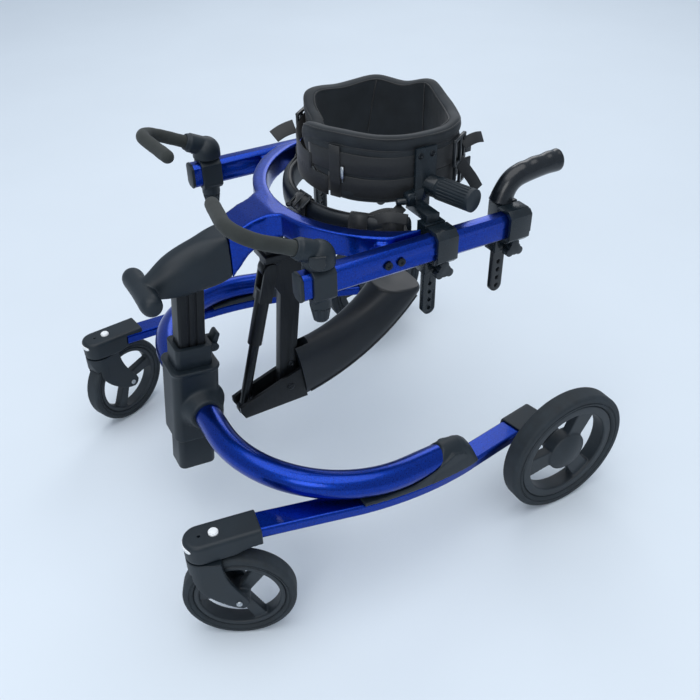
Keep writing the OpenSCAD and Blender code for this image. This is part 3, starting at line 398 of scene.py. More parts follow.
def hump(angle, centre, width):
    """Soft peak of 1 at an angle in degrees."""
    away = (angle - centre + 180) % 360 - 180
    return math.exp(-((away / width) ** 2))


def spline(points, steps, closed=False):
    """Smooth curve through points."""
    points = [Vector(p) for p in points]
    count = len(points)
    result = []
    for i in range(count if closed else count - 1):
        if closed:
            a, b, c, d = (points[(i + k) % count] for k in (-1, 0, 1, 2))
        else:
            a, b, c, d = (points[min(max(i + k, 0), count - 1)] for k in (-1, 0, 1, 2))
        for s in range(steps):
            t = s / steps
            second, third = 2 * a - 5 * b + 4 * c - d, 3 * b - a - 3 * c + d
            result.append(0.5 * (2 * b + (c - a) * t + second * t ** 2 + third * t ** 3))
    return result if closed else result + [points[-1]]


# Shapes


def new_piece(name, verts, faces, maker):
    """Mesh object with smooth faces and a finish."""
    mesh = bpy.data.meshes.new(name)
    mesh.from_pydata([tuple(v) for v in verts], [], faces)
    mesh.validate()
    mesh.shade_smooth()
    piece = bpy.data.objects.new(name, mesh)
    bpy.context.scene.collection.objects.link(piece)
    mesh.materials.append(finish(maker))
    return piece


def bake(piece):
    """Applies the modifiers of a piece to its mesh."""
    evaluated = piece.evaluated_get(bpy.context.evaluated_depsgraph_get())
    mesh = bpy.data.meshes.new_from_object(evaluated)
    piece.modifiers.clear()
    piece.data = mesh
    return piece


def loft(name, rings, maker, closed=False):
    """Skin over rings of equal length; the ends are capped unless the path is closed."""
    count = len(rings[0])
    verts = [v for ring in rings for v in ring]
    last = len(rings) if closed else len(rings) - 1
    faces = []
    for i in range(last):
        a, b = i * count, (i + 1) % len(rings) * count
        faces += [(a + k, a + (k + 1) % count, b + (k + 1) % count, b + k) for k in range(count)]
    if not closed:
        faces.append(tuple(reversed(range(count))))
        faces.append(tuple(range((len(rings) - 1) * count, len(rings) * count)))
    return new_piece(name, verts, faces, maker)


def frames_along(path, up):
    """Point, side and up at each point of a path."""
    result = []
    for i, point in enumerate(path):
        tangent = (path[min(i + 1, len(path) - 1)] - path[max(i - 1, 0)]).normalized()
        side = tangent.cross(Vector(up)).normalized()
        result.append((point, side, side.cross(tangent).normalized()))
    return result


def sweep(name, path, outline, up, maker, grow=None):
    """Skin of an outline carried along a path; grow holds its scale at each point."""
    rings = []
    for (point, side, lift), scale in zip(frames_along(path, up), grow or [1.0] * len(path)):
        rings.append([point + side * (x * scale) + lift * (y * scale) for x, y in outline])
    return loft(name, rings, maker)


def ring_outline(radius, count):
    """Points of a circle."""
    turns = [k * math.tau / count for k in range(count)]
    return [(radius * math.cos(a), radius * math.sin(a)) for a in turns]


def strap_outline(width, thickness):
    """Flat webbing section with rounded edges, width along the path's side."""
    edge = thickness / 2
    half = width / 2 - edge
    turns = [math.radians(a) for a in (-90, -45, 0, 45, 90)]
    right = [(half + edge * math.cos(a), edge * math.sin(a)) for a in turns]
    return right + [(-x, -y) for x, y in right]


def tube(name, path, radius, maker, up=(0, 0, 1), count=8):
    """Round cord along a path."""
    return sweep(name, path, ring_outline(radius, count), up, maker)


def lathe(name, profile, origin, axis, maker, count=40):
    """Solid turned about an axis at origin, from (radius, distance) pairs in millimetres."""
    axis = Vector(axis).normalized()
    side = axis.orthogonal().normalized()
    other = axis.cross(side)
    rings = []
    for radius, distance in profile:
        centre = origin + axis * (distance * MM)
        rings.append([centre + side * x + other * y for x, y in ring_outline(radius * MM, count)])
    return loft(name, rings, maker)


def soft_box(name, size, radius, place, maker):
    """Block with rounded edges; place is its matrix."""
    bm = bmesh.new()
    bmesh.ops.create_cube(bm, size=1)
    bmesh.ops.scale(bm, vec=size, verts=bm.verts)
    bmesh.ops.bevel(bm, geom=bm.edges[:], offset=radius, segments=3, profile=0.5, affect="EDGES")
    bmesh.ops.transform(bm, matrix=place, verts=bm.verts)
    verts = [v.co.copy() for v in bm.verts]
    bm.verts.index_update()
    faces = [[v.index for v in f.verts] for f in bm.faces]
    bm.free()
    return new_piece(name, verts, faces, maker)


def axes_matrix(origin, x_axis, z_hint):
    """Matrix at origin with X along x_axis and Z close to z_hint."""
    x = Vector(x_axis).normalized()
    y = Vector(z_hint).cross(x).normalized()
    z = x.cross(y)
    return Matrix.Translation(Vector(origin)) @ Matrix((x, y, z)).transposed().to_4x4()


def join(name, pieces):
    """One object from several meshes, with their materials."""
    bm = bmesh.new()
    materials = []
    for piece in pieces:
        start = len(bm.faces)
        bm.from_mesh(piece.data)
        bm.faces.ensure_lookup_table()
        material = piece.data.materials[0]
        if material not in materials:
            materials.append(material)
        for face in bm.faces[start:]:
            face.material_index = materials.index(material)
    mesh = bpy.data.meshes.new(name)
    bm.to_mesh(mesh)
    bm.free()
    for material in materials:
        mesh.materials.append(material)
    for piece in pieces:
        bpy.data.objects.remove(piece)
    joined = bpy.data.objects.new(name, mesh)
    bpy.context.scene.collection.objects.link(joined)
    return joined


def copy_of(node, name, maker):
    """Copy of a node's mesh with its loose seams welded."""
    mesh = frame["nodes"][node].data.copy()
    mesh.materials.clear()
    mesh.materials.append(finish(maker))
    bm = bmesh.new()
    bm.from_mesh(mesh)
    bmesh.ops.remove_doubles(bm, verts=bm.verts[:], dist=0.002 * MM)
    bm.to_mesh(mesh)
    bm.free()
    mesh.shade_smooth()
    piece = bpy.data.objects.new(name, mesh)
    bpy.context.scene.collection.objects.link(piece)
    return piece


def eased(node, maker, width):
    """Copy of a node with its sharp edges broken by width millimetres."""
    piece = copy_of(node, "eased_" + node, maker)
    bm = bmesh.new()
    bm.from_mesh(piece.data)
    bmesh.ops.dissolve_limit(bm, angle_limit=math.radians(0.6), verts=bm.verts[:], edges=bm.edges[:])
    bm.to_mesh(piece.data)
    bm.free()
    bevel = piece.modifiers.new("edges", "BEVEL")
    bevel.width = width * MM
    bevel.segments = 2
    bevel.limit_method = "ANGLE"
    bevel.angle_limit = math.radians(34)
    bake(piece)
    piece.data.shade_smooth()
    piece.data.set_sharp_from_angle(angle=math.radians(38))
    return stand_in(piece, node)


def cast(node, maker, voxel, passes, extras=(), keep=True, cutter=None, spin=None):
    """Copy of a node, or extras alone, with the soft edges and fillets of a casting.

    voxel is the grid of the new skin in millimetres, and passes its smoothing steps. A cutter is taken away
    from the copy first, and spin turns it.
    """
    name = "cast_" + node
    solids = list(extras)
    if keep:
        solids.append(copy_of(node, name + "_copy", maker))
    piece = join(name, solids)
    if spin:
        piece.data.transform(spin)
    if cutter:
        cut = piece.modifiers.new("cut", "BOOLEAN")
        cut.operation = "DIFFERENCE"
        cut.solver = "EXACT"
        cut.object = cutter
    grid = piece.modifiers.new("grid", "REMESH")
    grid.mode = "VOXEL"
    grid.voxel_size = voxel * MM
    soften = piece.modifiers.new("soften", "SMOOTH")
    soften.factor = 0.5
    soften.iterations = passes
    bake(piece)
    piece.data.shade_smooth()
    if cutter:
        bpy.data.objects.remove(cutter)
    return stand_in(piece, node)


def outward(piece):
    """Turns a closed piece's faces outwards."""
    bm = bmesh.new()
    bm.from_mesh(piece.data)
    bmesh.ops.recalc_face_normals(bm, faces=bm.faces[:])
    bm.to_mesh(piece.data)
    bm.free()
    return piece


def stand_in(piece, *nodes):
    """Puts a piece in the place of nodes of one body."""
    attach(piece, BODY_OF[nodes[0]])
    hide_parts(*nodes)
    return piece


def fitted(piece, body):
    """Puts a piece that stands for no node on a body."""
    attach(piece, body)
    return piece


def dress(maker, *nodes):
    """Gives nodes that stay as they are their finish."""
    for node in nodes:
        mesh = frame["nodes"][node].data
        mesh.materials.clear()
        mesh.materials.append(finish(maker))
        mesh.shade_smooth()
        mesh.set_sharp_from_angle(angle=math.radians(35))


def fill_out(piece, seams, pressure, limit):
    """Puffs up a padded piece between its seams: a short cloth run under air pressure.

    No point moves further than limit metres.
    """
    rest = [v.co.copy() for v in piece.data.vertices]
    group = piece.vertex_groups.new(name="seams")
    group.add(seams, 1.0, "REPLACE")
    cloth = piece.modifiers.new("cover", "CLOTH")
    settings = cloth.settings
    settings.quality = 5
    settings.mass = 0.3
    settings.tension_stiffness = 20
    settings.compression_stiffness = 20
    settings.shear_stiffness = 10
    settings.bending_stiffness = 0.8
    settings.use_pressure = True
    settings.uniform_pressure_force = pressure
    settings.effector_weights.gravity = 0
    settings.vertex_group_mass = "seams"
    last_step = 20
    cloth.point_cache.frame_start = 1
    cloth.point_cache.frame_end = last_step
    scene = bpy.context.scene
    for number in range(1, last_step + 1):
        scene.frame_set(number)
    settled = piece.evaluated_get(bpy.context.evaluated_depsgraph_get())
    moved = [v.co.copy() for v in settled.data.vertices]
    piece.modifiers.clear()
    piece.vertex_groups.clear()
    scene.frame_set(1)
    for vertex, start, end in zip(piece.data.vertices, rest, moved):
        step = end - start
        if step.length > limit:
            step *= limit / step.length
        vertex.co = start + step


def subdivide(piece):
    """Smooths a piece by one subdivision."""
    level = piece.modifiers.new("smooth", "SUBSURF")
    level.levels = 1
    level.render_levels = 1
    bake(piece)
    piece.data.shade_smooth()
    return piece


# Fittings


def strap_buckle(name, place):
    """Strap buckle: two side bars, three cross bars and a thumb lip, joined into one moulding."""
    parts = []
    for y in (-15.5, 15.5):
        spot = place @ Matrix.Translation(Vector((0, y, 0)) * MM)
        parts.append(soft_box("bar", Vector((34, 4, 5)) * MM, 1.4 * MM, spot, buckle_acetal))
    for x, z in ((-15, 0), (0, 1.2), (15, 0)):
        spot = place @ Matrix.Translation(Vector((x, 0, z)) * MM)
        parts.append(soft_box("bar", Vector((5, 32, 4)) * MM, 1.3 * MM, spot, buckle_acetal))
    lip = place @ Matrix.Translation(Vector((21, 0, 3)) * MM) @ Matrix.Rotation(math.radians(-28), 4, "Y")
    parts.append(soft_box("lip", Vector((11, 22, 3)) * MM, 1.2 * MM, lip, buckle_acetal))
    return join(name, parts)


def strap_run(name, points, width, up):
    """Loose length of webbing along a smooth curve, lying square to up."""
    path = spline([Vector(p) * MM for p in points], 8)
    return sweep(name, path, strap_outline(width * MM, sizes().strap_thickness), up, strap_webbing)


def rivet(name, spot, axis, radius, maker):
    """Domed head with a rim and a socket; spot and radius are in millimetres."""
    shape = (
        (0.2, -1.5), (1, -1.5), (1, 0.3), (0.92, 0.7), (0.6, 1.3), (0.42, 1.4), (0.4, 0.6), (0.05, 0.5)
    )
    return lathe(name, [(radius * r, d) for r, d in shape], Vector(spot) * MM, axis, maker, 24)


def plate(name, outline, thickness, place, maker):
    """Flat plate with eased edges from an outline in its own XY plane, in millimetres."""
    half = thickness / 2
    middle = Vector((sum(x for x, _ in outline), sum(y for _, y in outline))) / len(outline)
    rings = []
    for height, inset in ((-half, 0.0), (half - 0.7, 0.0), (half - 0.2, 0.35), (half, 1.0)):
        ring = []
        for x, y in outline:
            inward = (middle - Vector((x, y))).normalized() * inset
            ring.append(place @ (Vector((x + inward.x, y + inward.y, height)) * MM))
        rings.append(ring)
    piece = loft(name, rings, maker)
    piece.data.set_sharp_from_angle(angle=math.radians(40))
    return piece


# Pieces


class GAIT_OT_frame(bpy.types.Operator):
    """Tubes, rails, arms, yoke and column, and the mouldings that join them"""

    bl_idname = "gait.frame"
    bl_label = "Frame"

    # Nose and open end of the boot along Y, and its top, underside and half width between them, in mm
    boot_nose, boot_end = -256, -143.2
    boot_top = ((-256, 374), (-241, 386), (-218, 402), (-192, 412.5), (-168, 418.5), (-143.2, 420.8))
    boot_low = ((-256, 360), (-236, 353.5), (-205, 350.5), (-180, 351.5), (-160, 356), (-143.2, 363))
    boot_half = ((-256, 13), (-240, 15), (-222, 20.5), (-200, 24), (-143.2, 25))
    # Half of the cross handle: (radius, distance from its middle) in mm, and its middle
    handle_half = ((0.5, -48), (6, -47.4), (10.5, -45), (13, -40.5), (14, -34), (13.6, -20), (13.2, 0))
    handle_middle = Vector((0, -252, 366)) * MM
    # Where the base tube ends under a rail cover, and its direction there
    tube_end, tube_ahead = Vector((245, 42.5, 161)), Vector((-0.104, 0.99, -0.092))
    # Hump over that end: place along the tube, half width, height over the tube's middle, forward slant
    hump_stations = (
        (-16, 20.3, 20.3, 1.0), (-8, 20.5, 20.5, 0.8), (2, 20.5, 20.5, 0.5), (12, 20.3, 19.6, 0.2),
        (20, 19.8, 16.5, 0.0), (27, 19.0, 10.5, 0.0), (33, 18.0, 1.5, 0.0), (38, 17.0, -9.5, 0.0),
        (41, 16.0, -17.5, 0.0),
    )
    hump_floor = -21
    # Tapered boss on each side of the socket: (radius, distance from the middle plane), and its centre
    boss = ((36, 16), (35, 19), (31.5, 26), (27.5, 34), (24.5, 42), (22.5, 48), (8, 48.4), (8, 16))
    boss_middle = Vector((0, -208.3, 184.3)) * MM

    def boot(self):
        """Arched casing over the column's head and the cross handle on its nose."""
        rings = []
        for k in range(41):
            y = self.boot_nose + (self.boot_end - self.boot_nose) * k / 40
            top, low, half = (between(t, y) for t in (self.boot_top, self.boot_low, self.boot_half))
            widen = smooth(-185, self.boot_end, y)
            square, taper = 0.62 - 0.34 * widen, 0.34 - 0.26 * widen
            ring = []
            for a in range(48):
                turn = a * math.tau / 48
                z = power(math.sin(turn), square)
                x = power(math.cos(turn), square) * half * (1 - taper * max(0.0, z) ** 2)
                ring.append(Vector((x, y, (top + low) / 2 + z * (top - low) / 2)) * MM)
            rings.append(ring)
        shell = loft("boot_shell", rings, moulded_nylon)
        profile = list(self.handle_half) + [(r, -d) for r, d in self.handle_half[-2::-1]]
        return [shell, lathe("boot_bar", profile, self.handle_middle, (1, 0, 0), moulded_nylon)]

    def hood(self, side, way):
        """Hump of a rail cover that closes over the end of its base tube."""
        rings = []
        for place, wide, tall, slant in self.hump_stations:
            ring = []
            for a in range(25):
                turn = math.pi * a / 24
                x = power(math.cos(turn), 0.85) * wide
                z = self.hump_floor + power(math.sin(turn), 0.8) * (tall - self.hump_floor)
                run = place - slant * 24 * (1 - math.sin(turn))
                spot = self.tube_end + self.tube_ahead * run + Vector((x, 0, z))
                ring.append(Vector((way * spot.x, spot.y, spot.z)) * MM)
            rings.append(ring if way > 0 else ring[::-1])
        return loft(f"cover_hood_{side}", rings, moulded_nylon)

    def execute(self, context):
        dress(frame_lacquer, "base_tubes", "side_rails")
        eased("arms", frame_lacquer, 1.0)
        cast("yoke", frame_lacquer, 1.5, 24)
        eased("column", black_anodised, 0.4)
        bosses = []
        for side, way in SIDES:
            bosses.append(lathe(f"boss_{side}", self.boss, self.boss_middle, (way, 0, 0), moulded_nylon))
        cast("column_socket", moulded_nylon, 1.3, 14, bosses)
        cast("column_boot", moulded_nylon, 1.3, 9, self.boot(), keep=False)
        eased("socket_collar", moulded_nylon, 1.0)
        eased("socket_shroud", moulded_nylon, 1.6)
        eased("height_lever", moulded_nylon, 0.6)
        cast("rail_covers", moulded_nylon, 1.2, 7, [self.hood(side, way) for side, way in SIDES])
        eased("arm_caps", moulded_nylon, 0.8)
        eased("arm_bolts", black_oxide, 0.3)
        return {"FINISHED"}


class GAIT_OT_wheels(bpy.types.Operator):
    """Casters, rear wheels and what carries them"""

    bl_idname = "gait.wheels"
    bl_label = "Wheels"

    # Right caster: its swivel axis at wheel height, the wheel's trail behind it, and its angle in plan
    hub, trail, toe = (224, -290, 69), 38, math.radians(26)
    # Radius of the fork's round crown, and its edges: (height over the axle, place along the trail)
    crown = 19.5
    fork_front = (
        (-10, 3), (-8, -4), (-2, -15), (6, -26), (16.5, -37), (27, -45), (38, -50.5), (50, -54.5),
        (62, -57), (71.5, -57.4),
    )
    fork_rear = (
        (-10, 4), (-8, 8.5), (-4, 11.4), (1, 12), (7, 10), (17, 4), (29, -3), (43, -9), (57, -12.5),
        (71.5, -14),
    )
    # Room for the wheel in the fork, and half of the axle bolt: (radius, distance from the wheel's middle)
    wheel_room = ((71.5, -14), (71.5, 14))
    bolt_half = ((1.4, -20.4), (1.7, -21.4), (3.2, -21.4), (3.8, -20.8), (3.8, -19), (4, -18))
    # Underside of the housings along Y, swept up to the rail, closed by the last two points below it
    housing_cut = (
        (-268, 140), (-262, 140.6), (-254, 143.5), (-246, 146.8), (-236, 148.4), (-190, 149), (-190, 120),
        (-268, 120),
    )
    # Degrees by which each rim is rolled on from where the solid stands
    rolled = {"right": -38, "left": 32}

    def axes(self, way):
        """Wheel centre of a caster, and the directions across it and along its trail."""
        across = Vector((way * math.cos(self.toe), -math.sin(self.toe), 0))
        along = Vector((way * math.sin(self.toe), math.cos(self.toe), 0))
        x, y, z = self.hub
        return Vector((way * x, y, z)) * MM + along * self.trail * MM, across, along

    def fork(self, side, way):
        """Hood that starts round under its housing and sweeps back to the axle, opened for the wheel."""
        centre, across, along = self.axes(way)
        low, high = self.fork_front[0][0], self.fork_front[-1][0]
        rings = []
        for k in range(46):
            z = low + (high - low) * (1 - math.cos(math.pi * k / 90))
            front, rear = between(self.fork_front, z), between(self.fork_rear, z)
            edge = []
            for n in range(13):
                y = front + (rear - front) * (1 - math.cos(math.pi * n / 24))
                wide = math.sqrt(max(0.4, self.crown ** 2 - min(0, y + self.trail) ** 2))
                edge.append((wide, y))
            ring = edge + [(-wide, y) for wide, y in reversed(edge)]
            rings.append([centre + (across * x + along * y + Vector((0, 0, z))) * MM for x, y in ring])
        hood = outward(loft("hood", rings, moulded_nylon))
        cutter = outward(lathe("wheel_room", self.wheel_room, centre, across, moulded_nylon, 96))
        cast(f"caster_fork_{side}", moulded_nylon, 0.9, 5, [hood], False, cutter)
        profile = list(self.bolt_half) + [(r, -d) for r, d in reversed(self.bolt_half)]
        bolt = lathe(f"wheel_bolt_{side}", profile, centre, across, zinc_steel, 24)
        stand_in(bolt, f"caster_axle_{side}")

    def housings(self):
        """Caster housings with the underside swept up towards the rail."""
        rings = [[Vector((x, y, z)) * MM for y, z in self.housing_cut] for x in (-320, 320)]
        cutter = outward(loft("sweep_cut", rings, moulded_nylon))
        cast("caster_housings", moulded_nylon, 1.0, 4, cutter=cutter)

    def execute(self, context):
        self.housings()
        cast("axle_brackets", moulded_nylon, 1.3, 5)
        dress(zinc_steel, "rear_axles")
        for side, way in SIDES:
            eased(f"swivel_button_{side}", white_abs, 0.5)
            self.fork(side, way)
            centre, across, _ = self.axes(way)
            turn = Matrix.Rotation(math.radians(self.rolled[side]), 4, across * way)
            spin = Matrix.Translation(centre) @ turn @ Matrix.Translation(-centre)
            cast(f"caster_rim_{side}", rim_nylon, 0.9, 12, spin=spin)
            cast(f"rear_rim_{side}", rim_nylon, 1.1, 9)
            dress(tyre_polyurethane, f"caster_tyre_{side}", f"rear_tyre_{side}")
        return {"FINISHED"}


class GAIT_OT_clamps(bpy.types.Operator):
    """Clamps, knobs, posts and hand grips on the arms"""

    bl_idname = "gait.clamps"
    bl_label = "Clamps and grips"

    # Height where the post ends in its grip, the grip's centre line (y, z), its radius by share of length
    post_top = 444
    grip_line = (
        (168.5, 441), (170.5, 448), (174, 456), (179.5, 463.5), (187.5, 469), (198, 472), (214, 474.3),
        (233, 476), (246, 476.6), (255, 476.8),
    )
    grip_size = (
        (0, 15.8), (0.1, 14.6), (0.25, 13.8), (0.4, 13.8), (0.6, 13.8), (0.78, 13.6), (0.93, 14.2), (1, 13),
    )
    # Depth of the finger waves in mm and how fast they follow each other, and how flat the grip is
    finger_depth, finger_pace, flatness = 0.5, 46, 0.94

    def grip(self, side):
        """Post with its holes, cut from its node, and a moulded grip that bends over from it."""
        node = f"handhold_{side}"
        post = copy_of(node, "post", grip_vinyl)
        bm = bmesh.new()
        bm.from_mesh(post.data)
        whole = bm.verts[:] + bm.edges[:] + bm.faces[:]
        top = (0, 0, self.post_top * MM)
        cut = bmesh.ops.bisect_plane(bm, geom=whole, plane_co=top, plane_no=(0, 0, 1), clear_outer=True)
        bmesh.ops.holes_fill(bm, edges=[e for e in cut["geom_cut"] if isinstance(e, bmesh.types.BMEdge)])
        bm.to_mesh(post.data)
        bm.free()
        low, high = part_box(node)
        centre = (low.x + high.x) / 2 / MM
        path = spline([Vector((centre, y, z)) * MM for y, z in self.grip_line], 8)
        rings = []
        for i, (point, across, lift) in enumerate(frames_along(path, (1, 0, 0))):
            share = i / (len(path) - 1)
            tip = math.sqrt(max(0.02, 1 - max(0.0, (share - 0.95) / 0.05) ** 2))
            size = between(self.grip_size, share) * (0.9 + 0.1 * tip) * tip
            wave = self.finger_depth * math.cos(share * self.finger_pace) * smooth(0.45, 0.6, share)
            ring = []
            for x, y in ring_outline(1, 28):
                reach = (size + wave * max(0.0, -x)) * MM
                ring.append(point + across * (x * reach) + lift * (y * reach * self.flatness))
            rings.append(ring)
        return [post, loft("grip", rings, grip_vinyl)]

    def execute(self, context):
        eased("handhold_clamps", gloss_nylon, 0.9)
        eased("prompt_clamps", gloss_nylon, 0.9)
        eased("prompt_brackets", gloss_nylon, 0.8)
        for side, _ in SIDES:
            cast(f"handle_clamp_{side}", moulded_nylon, 1.0, 5)
            eased(f"handle_knob_{side}", moulded_nylon, 0.5)
            cast(f"handle_knuckle_{side}", moulded_nylon, 0.9, 5)
            cast(f"handhold_{side}", grip_vinyl, 0.9, 6, self.grip(side), keep=False)
            eased(f"handhold_knob_{side}", gloss_nylon, 0.8)
            eased(f"prompt_clamp_knob_{side}", gloss_nylon, 0.8)
            eased(f"prompt_knob_{side}", moulded_nylon, 0.4)
        return {"FINISHED"}


class GAIT_OT_saddle_bars(bpy.types.Operator):
    """Mount, hanger, strut and channel of the saddle"""

    bl_idname = "gait.saddle_bars"
    bl_label = "Saddle bars"

    def execute(self, context):
        eased("saddle_mount", black_anodised, 0.8)
        eased("saddle_hanger", black_anodised, 1.0)
        eased("saddle_base", black_anodised, 0.9)
        eased("strut_tube", black_anodised, 0.6)
        eased("strut_rod", black_oxide, 0.4)
        return {"FINISHED"}


# Chest pad: a padded strip wrapped once round, its outer end lapped over its inner end at the front.
# Angles are in degrees round its middle, from the user's right towards the rear.

PAD_CENTRE = Vector((0, 82, 0)) * MM
PAD_START, PAD_END = -104, 262
# Corners of the wall behind, its mean radius and the radius of the corners in mm
PAD_CORNERS = (38, 108, 152, 213)
PAD_RADIUS, CORNER_RADIUS = 94.4, 101
# Rim heights in mm at angles round the pad
PAD_RIM = (
    (-104, 524), (-92, 530), (-78, 533), (-57, 535), (-24, 531), (1, 530), (22, 528), (38, 530), (60, 527),
    (85, 531), (107, 541), (129, 533), (152, 539), (183, 535), (213, 539), (235, 527), (262, 514),
)
# Angle from which the straps leave the tapering outer end and run on over the lap, and their least radius
LAP_START, LAP_RADIUS = 206, 95.5 * MM
# Radius of the stitched edges
CORD_RADIUS = 0.9 * MM
# Height in mm of the pad's low edge, and the share of the roll's radius from the rim down to the neck seam
PAD_LOW, NECK_SHARE = 449, 2.1


def pad_plan(angle):
    """Middle radius of the wall in mm: round at the front, drawn towards flat walls between the corners."""
    for low, high in zip(PAD_CORNERS, PAD_CORNERS[1:]):
        if low <= angle <= high:
            half, off = math.radians((high - low) / 2), math.radians(angle - (low + high) / 2)
            return 0.5 * PAD_RADIUS + 0.5 * CORNER_RADIUS * math.cos(half) / math.cos(off)
    if angle < PAD_CORNERS[0]:
        return PAD_RADIUS + 3.3 * smooth(12, PAD_CORNERS[0], angle)
    return PAD_RADIUS + 3.3 - 20 * smooth(PAD_CORNERS[-1], 250, angle)


def pad_wall(angle):
    """Middle radius, rim height and low edge of the pad's wall in metres at an angle in degrees."""
    radius = sum(pad_plan(angle + a) for a in (-5, -2, 0, 2, 5)) / 5
    low = PAD_LOW + 2 * math.sin(math.radians(3 * angle))
    return radius * MM, between(PAD_RIM, angle) * MM, low * MM


def pad_out(angle):
    """Direction away from the pad's middle at an angle."""
    turn = math.radians(angle)
    return Vector((math.cos(turn), math.sin(turn), 0))


def pad_point(angle, out, height):
    """Point at an angle, a distance from the pad's middle and a height, in metres."""
    return PAD_CENTRE + pad_out(angle) * out + Vector((0, 0, height))


def pad_section(rim, low, thick, roll):
    """Outline of the wall: quilted face, a neck under the roll, the roll, then the lining."""
    half = thick / 2
    neck = rim - NECK_SHARE * roll
    face = neck - low
    quilted = [(half * 0.93, low + face * share) for share in (0.34, 0.5, 0.66, 0.82)]
    return [
        (half * 0.55, low + 1 * MM), (half * 0.96, low + 5 * MM), (half * 1.06, low + face * 0.16), *quilted,
        (half * 0.97, neck - 3 * MM), (half * 0.84, neck), (half + 0.3 * MM, neck + 4 * MM),
        (half + 0.9 * MM, rim - roll), (half * 0.96, rim - 2.4 * MM), (half * 0.45, rim),
        (-half * 0.35, rim - 0.6 * MM), (-half * 0.94, rim - 3.4 * MM), (-half, rim - 1.6 * roll),
        (-half, low + face * 0.75), (-half, low + face * 0.3), (-half * 0.9, low + 5 * MM),
        (-half * 0.45, low + 1 * MM), (0, low),
    ]


def pad_strap(name, start, end, share, out):
    """Webbing sewn round the pad's face at a share of the face's height."""
    path = []
    for k in range(int((end - start) / 3) + 1):
        angle = start + 3 * k
        radius, rim, low = pad_wall(angle)
        height = low + (rim - NECK_SHARE * sizes().roll_radius - low) * share
        if angle > LAP_START:
            radius = max(radius, LAP_RADIUS + 3 * MM * hump(angle, 238, 16))
        path.append(pad_point(angle, radius + sizes().pad_thickness / 2 + out, height))
    outline = [(y, x) for x, y in strap_outline(sizes().strap_width, sizes().strap_thickness)]
    return sweep(name, path, outline[::-1], (0, 0, 1), strap_webbing)


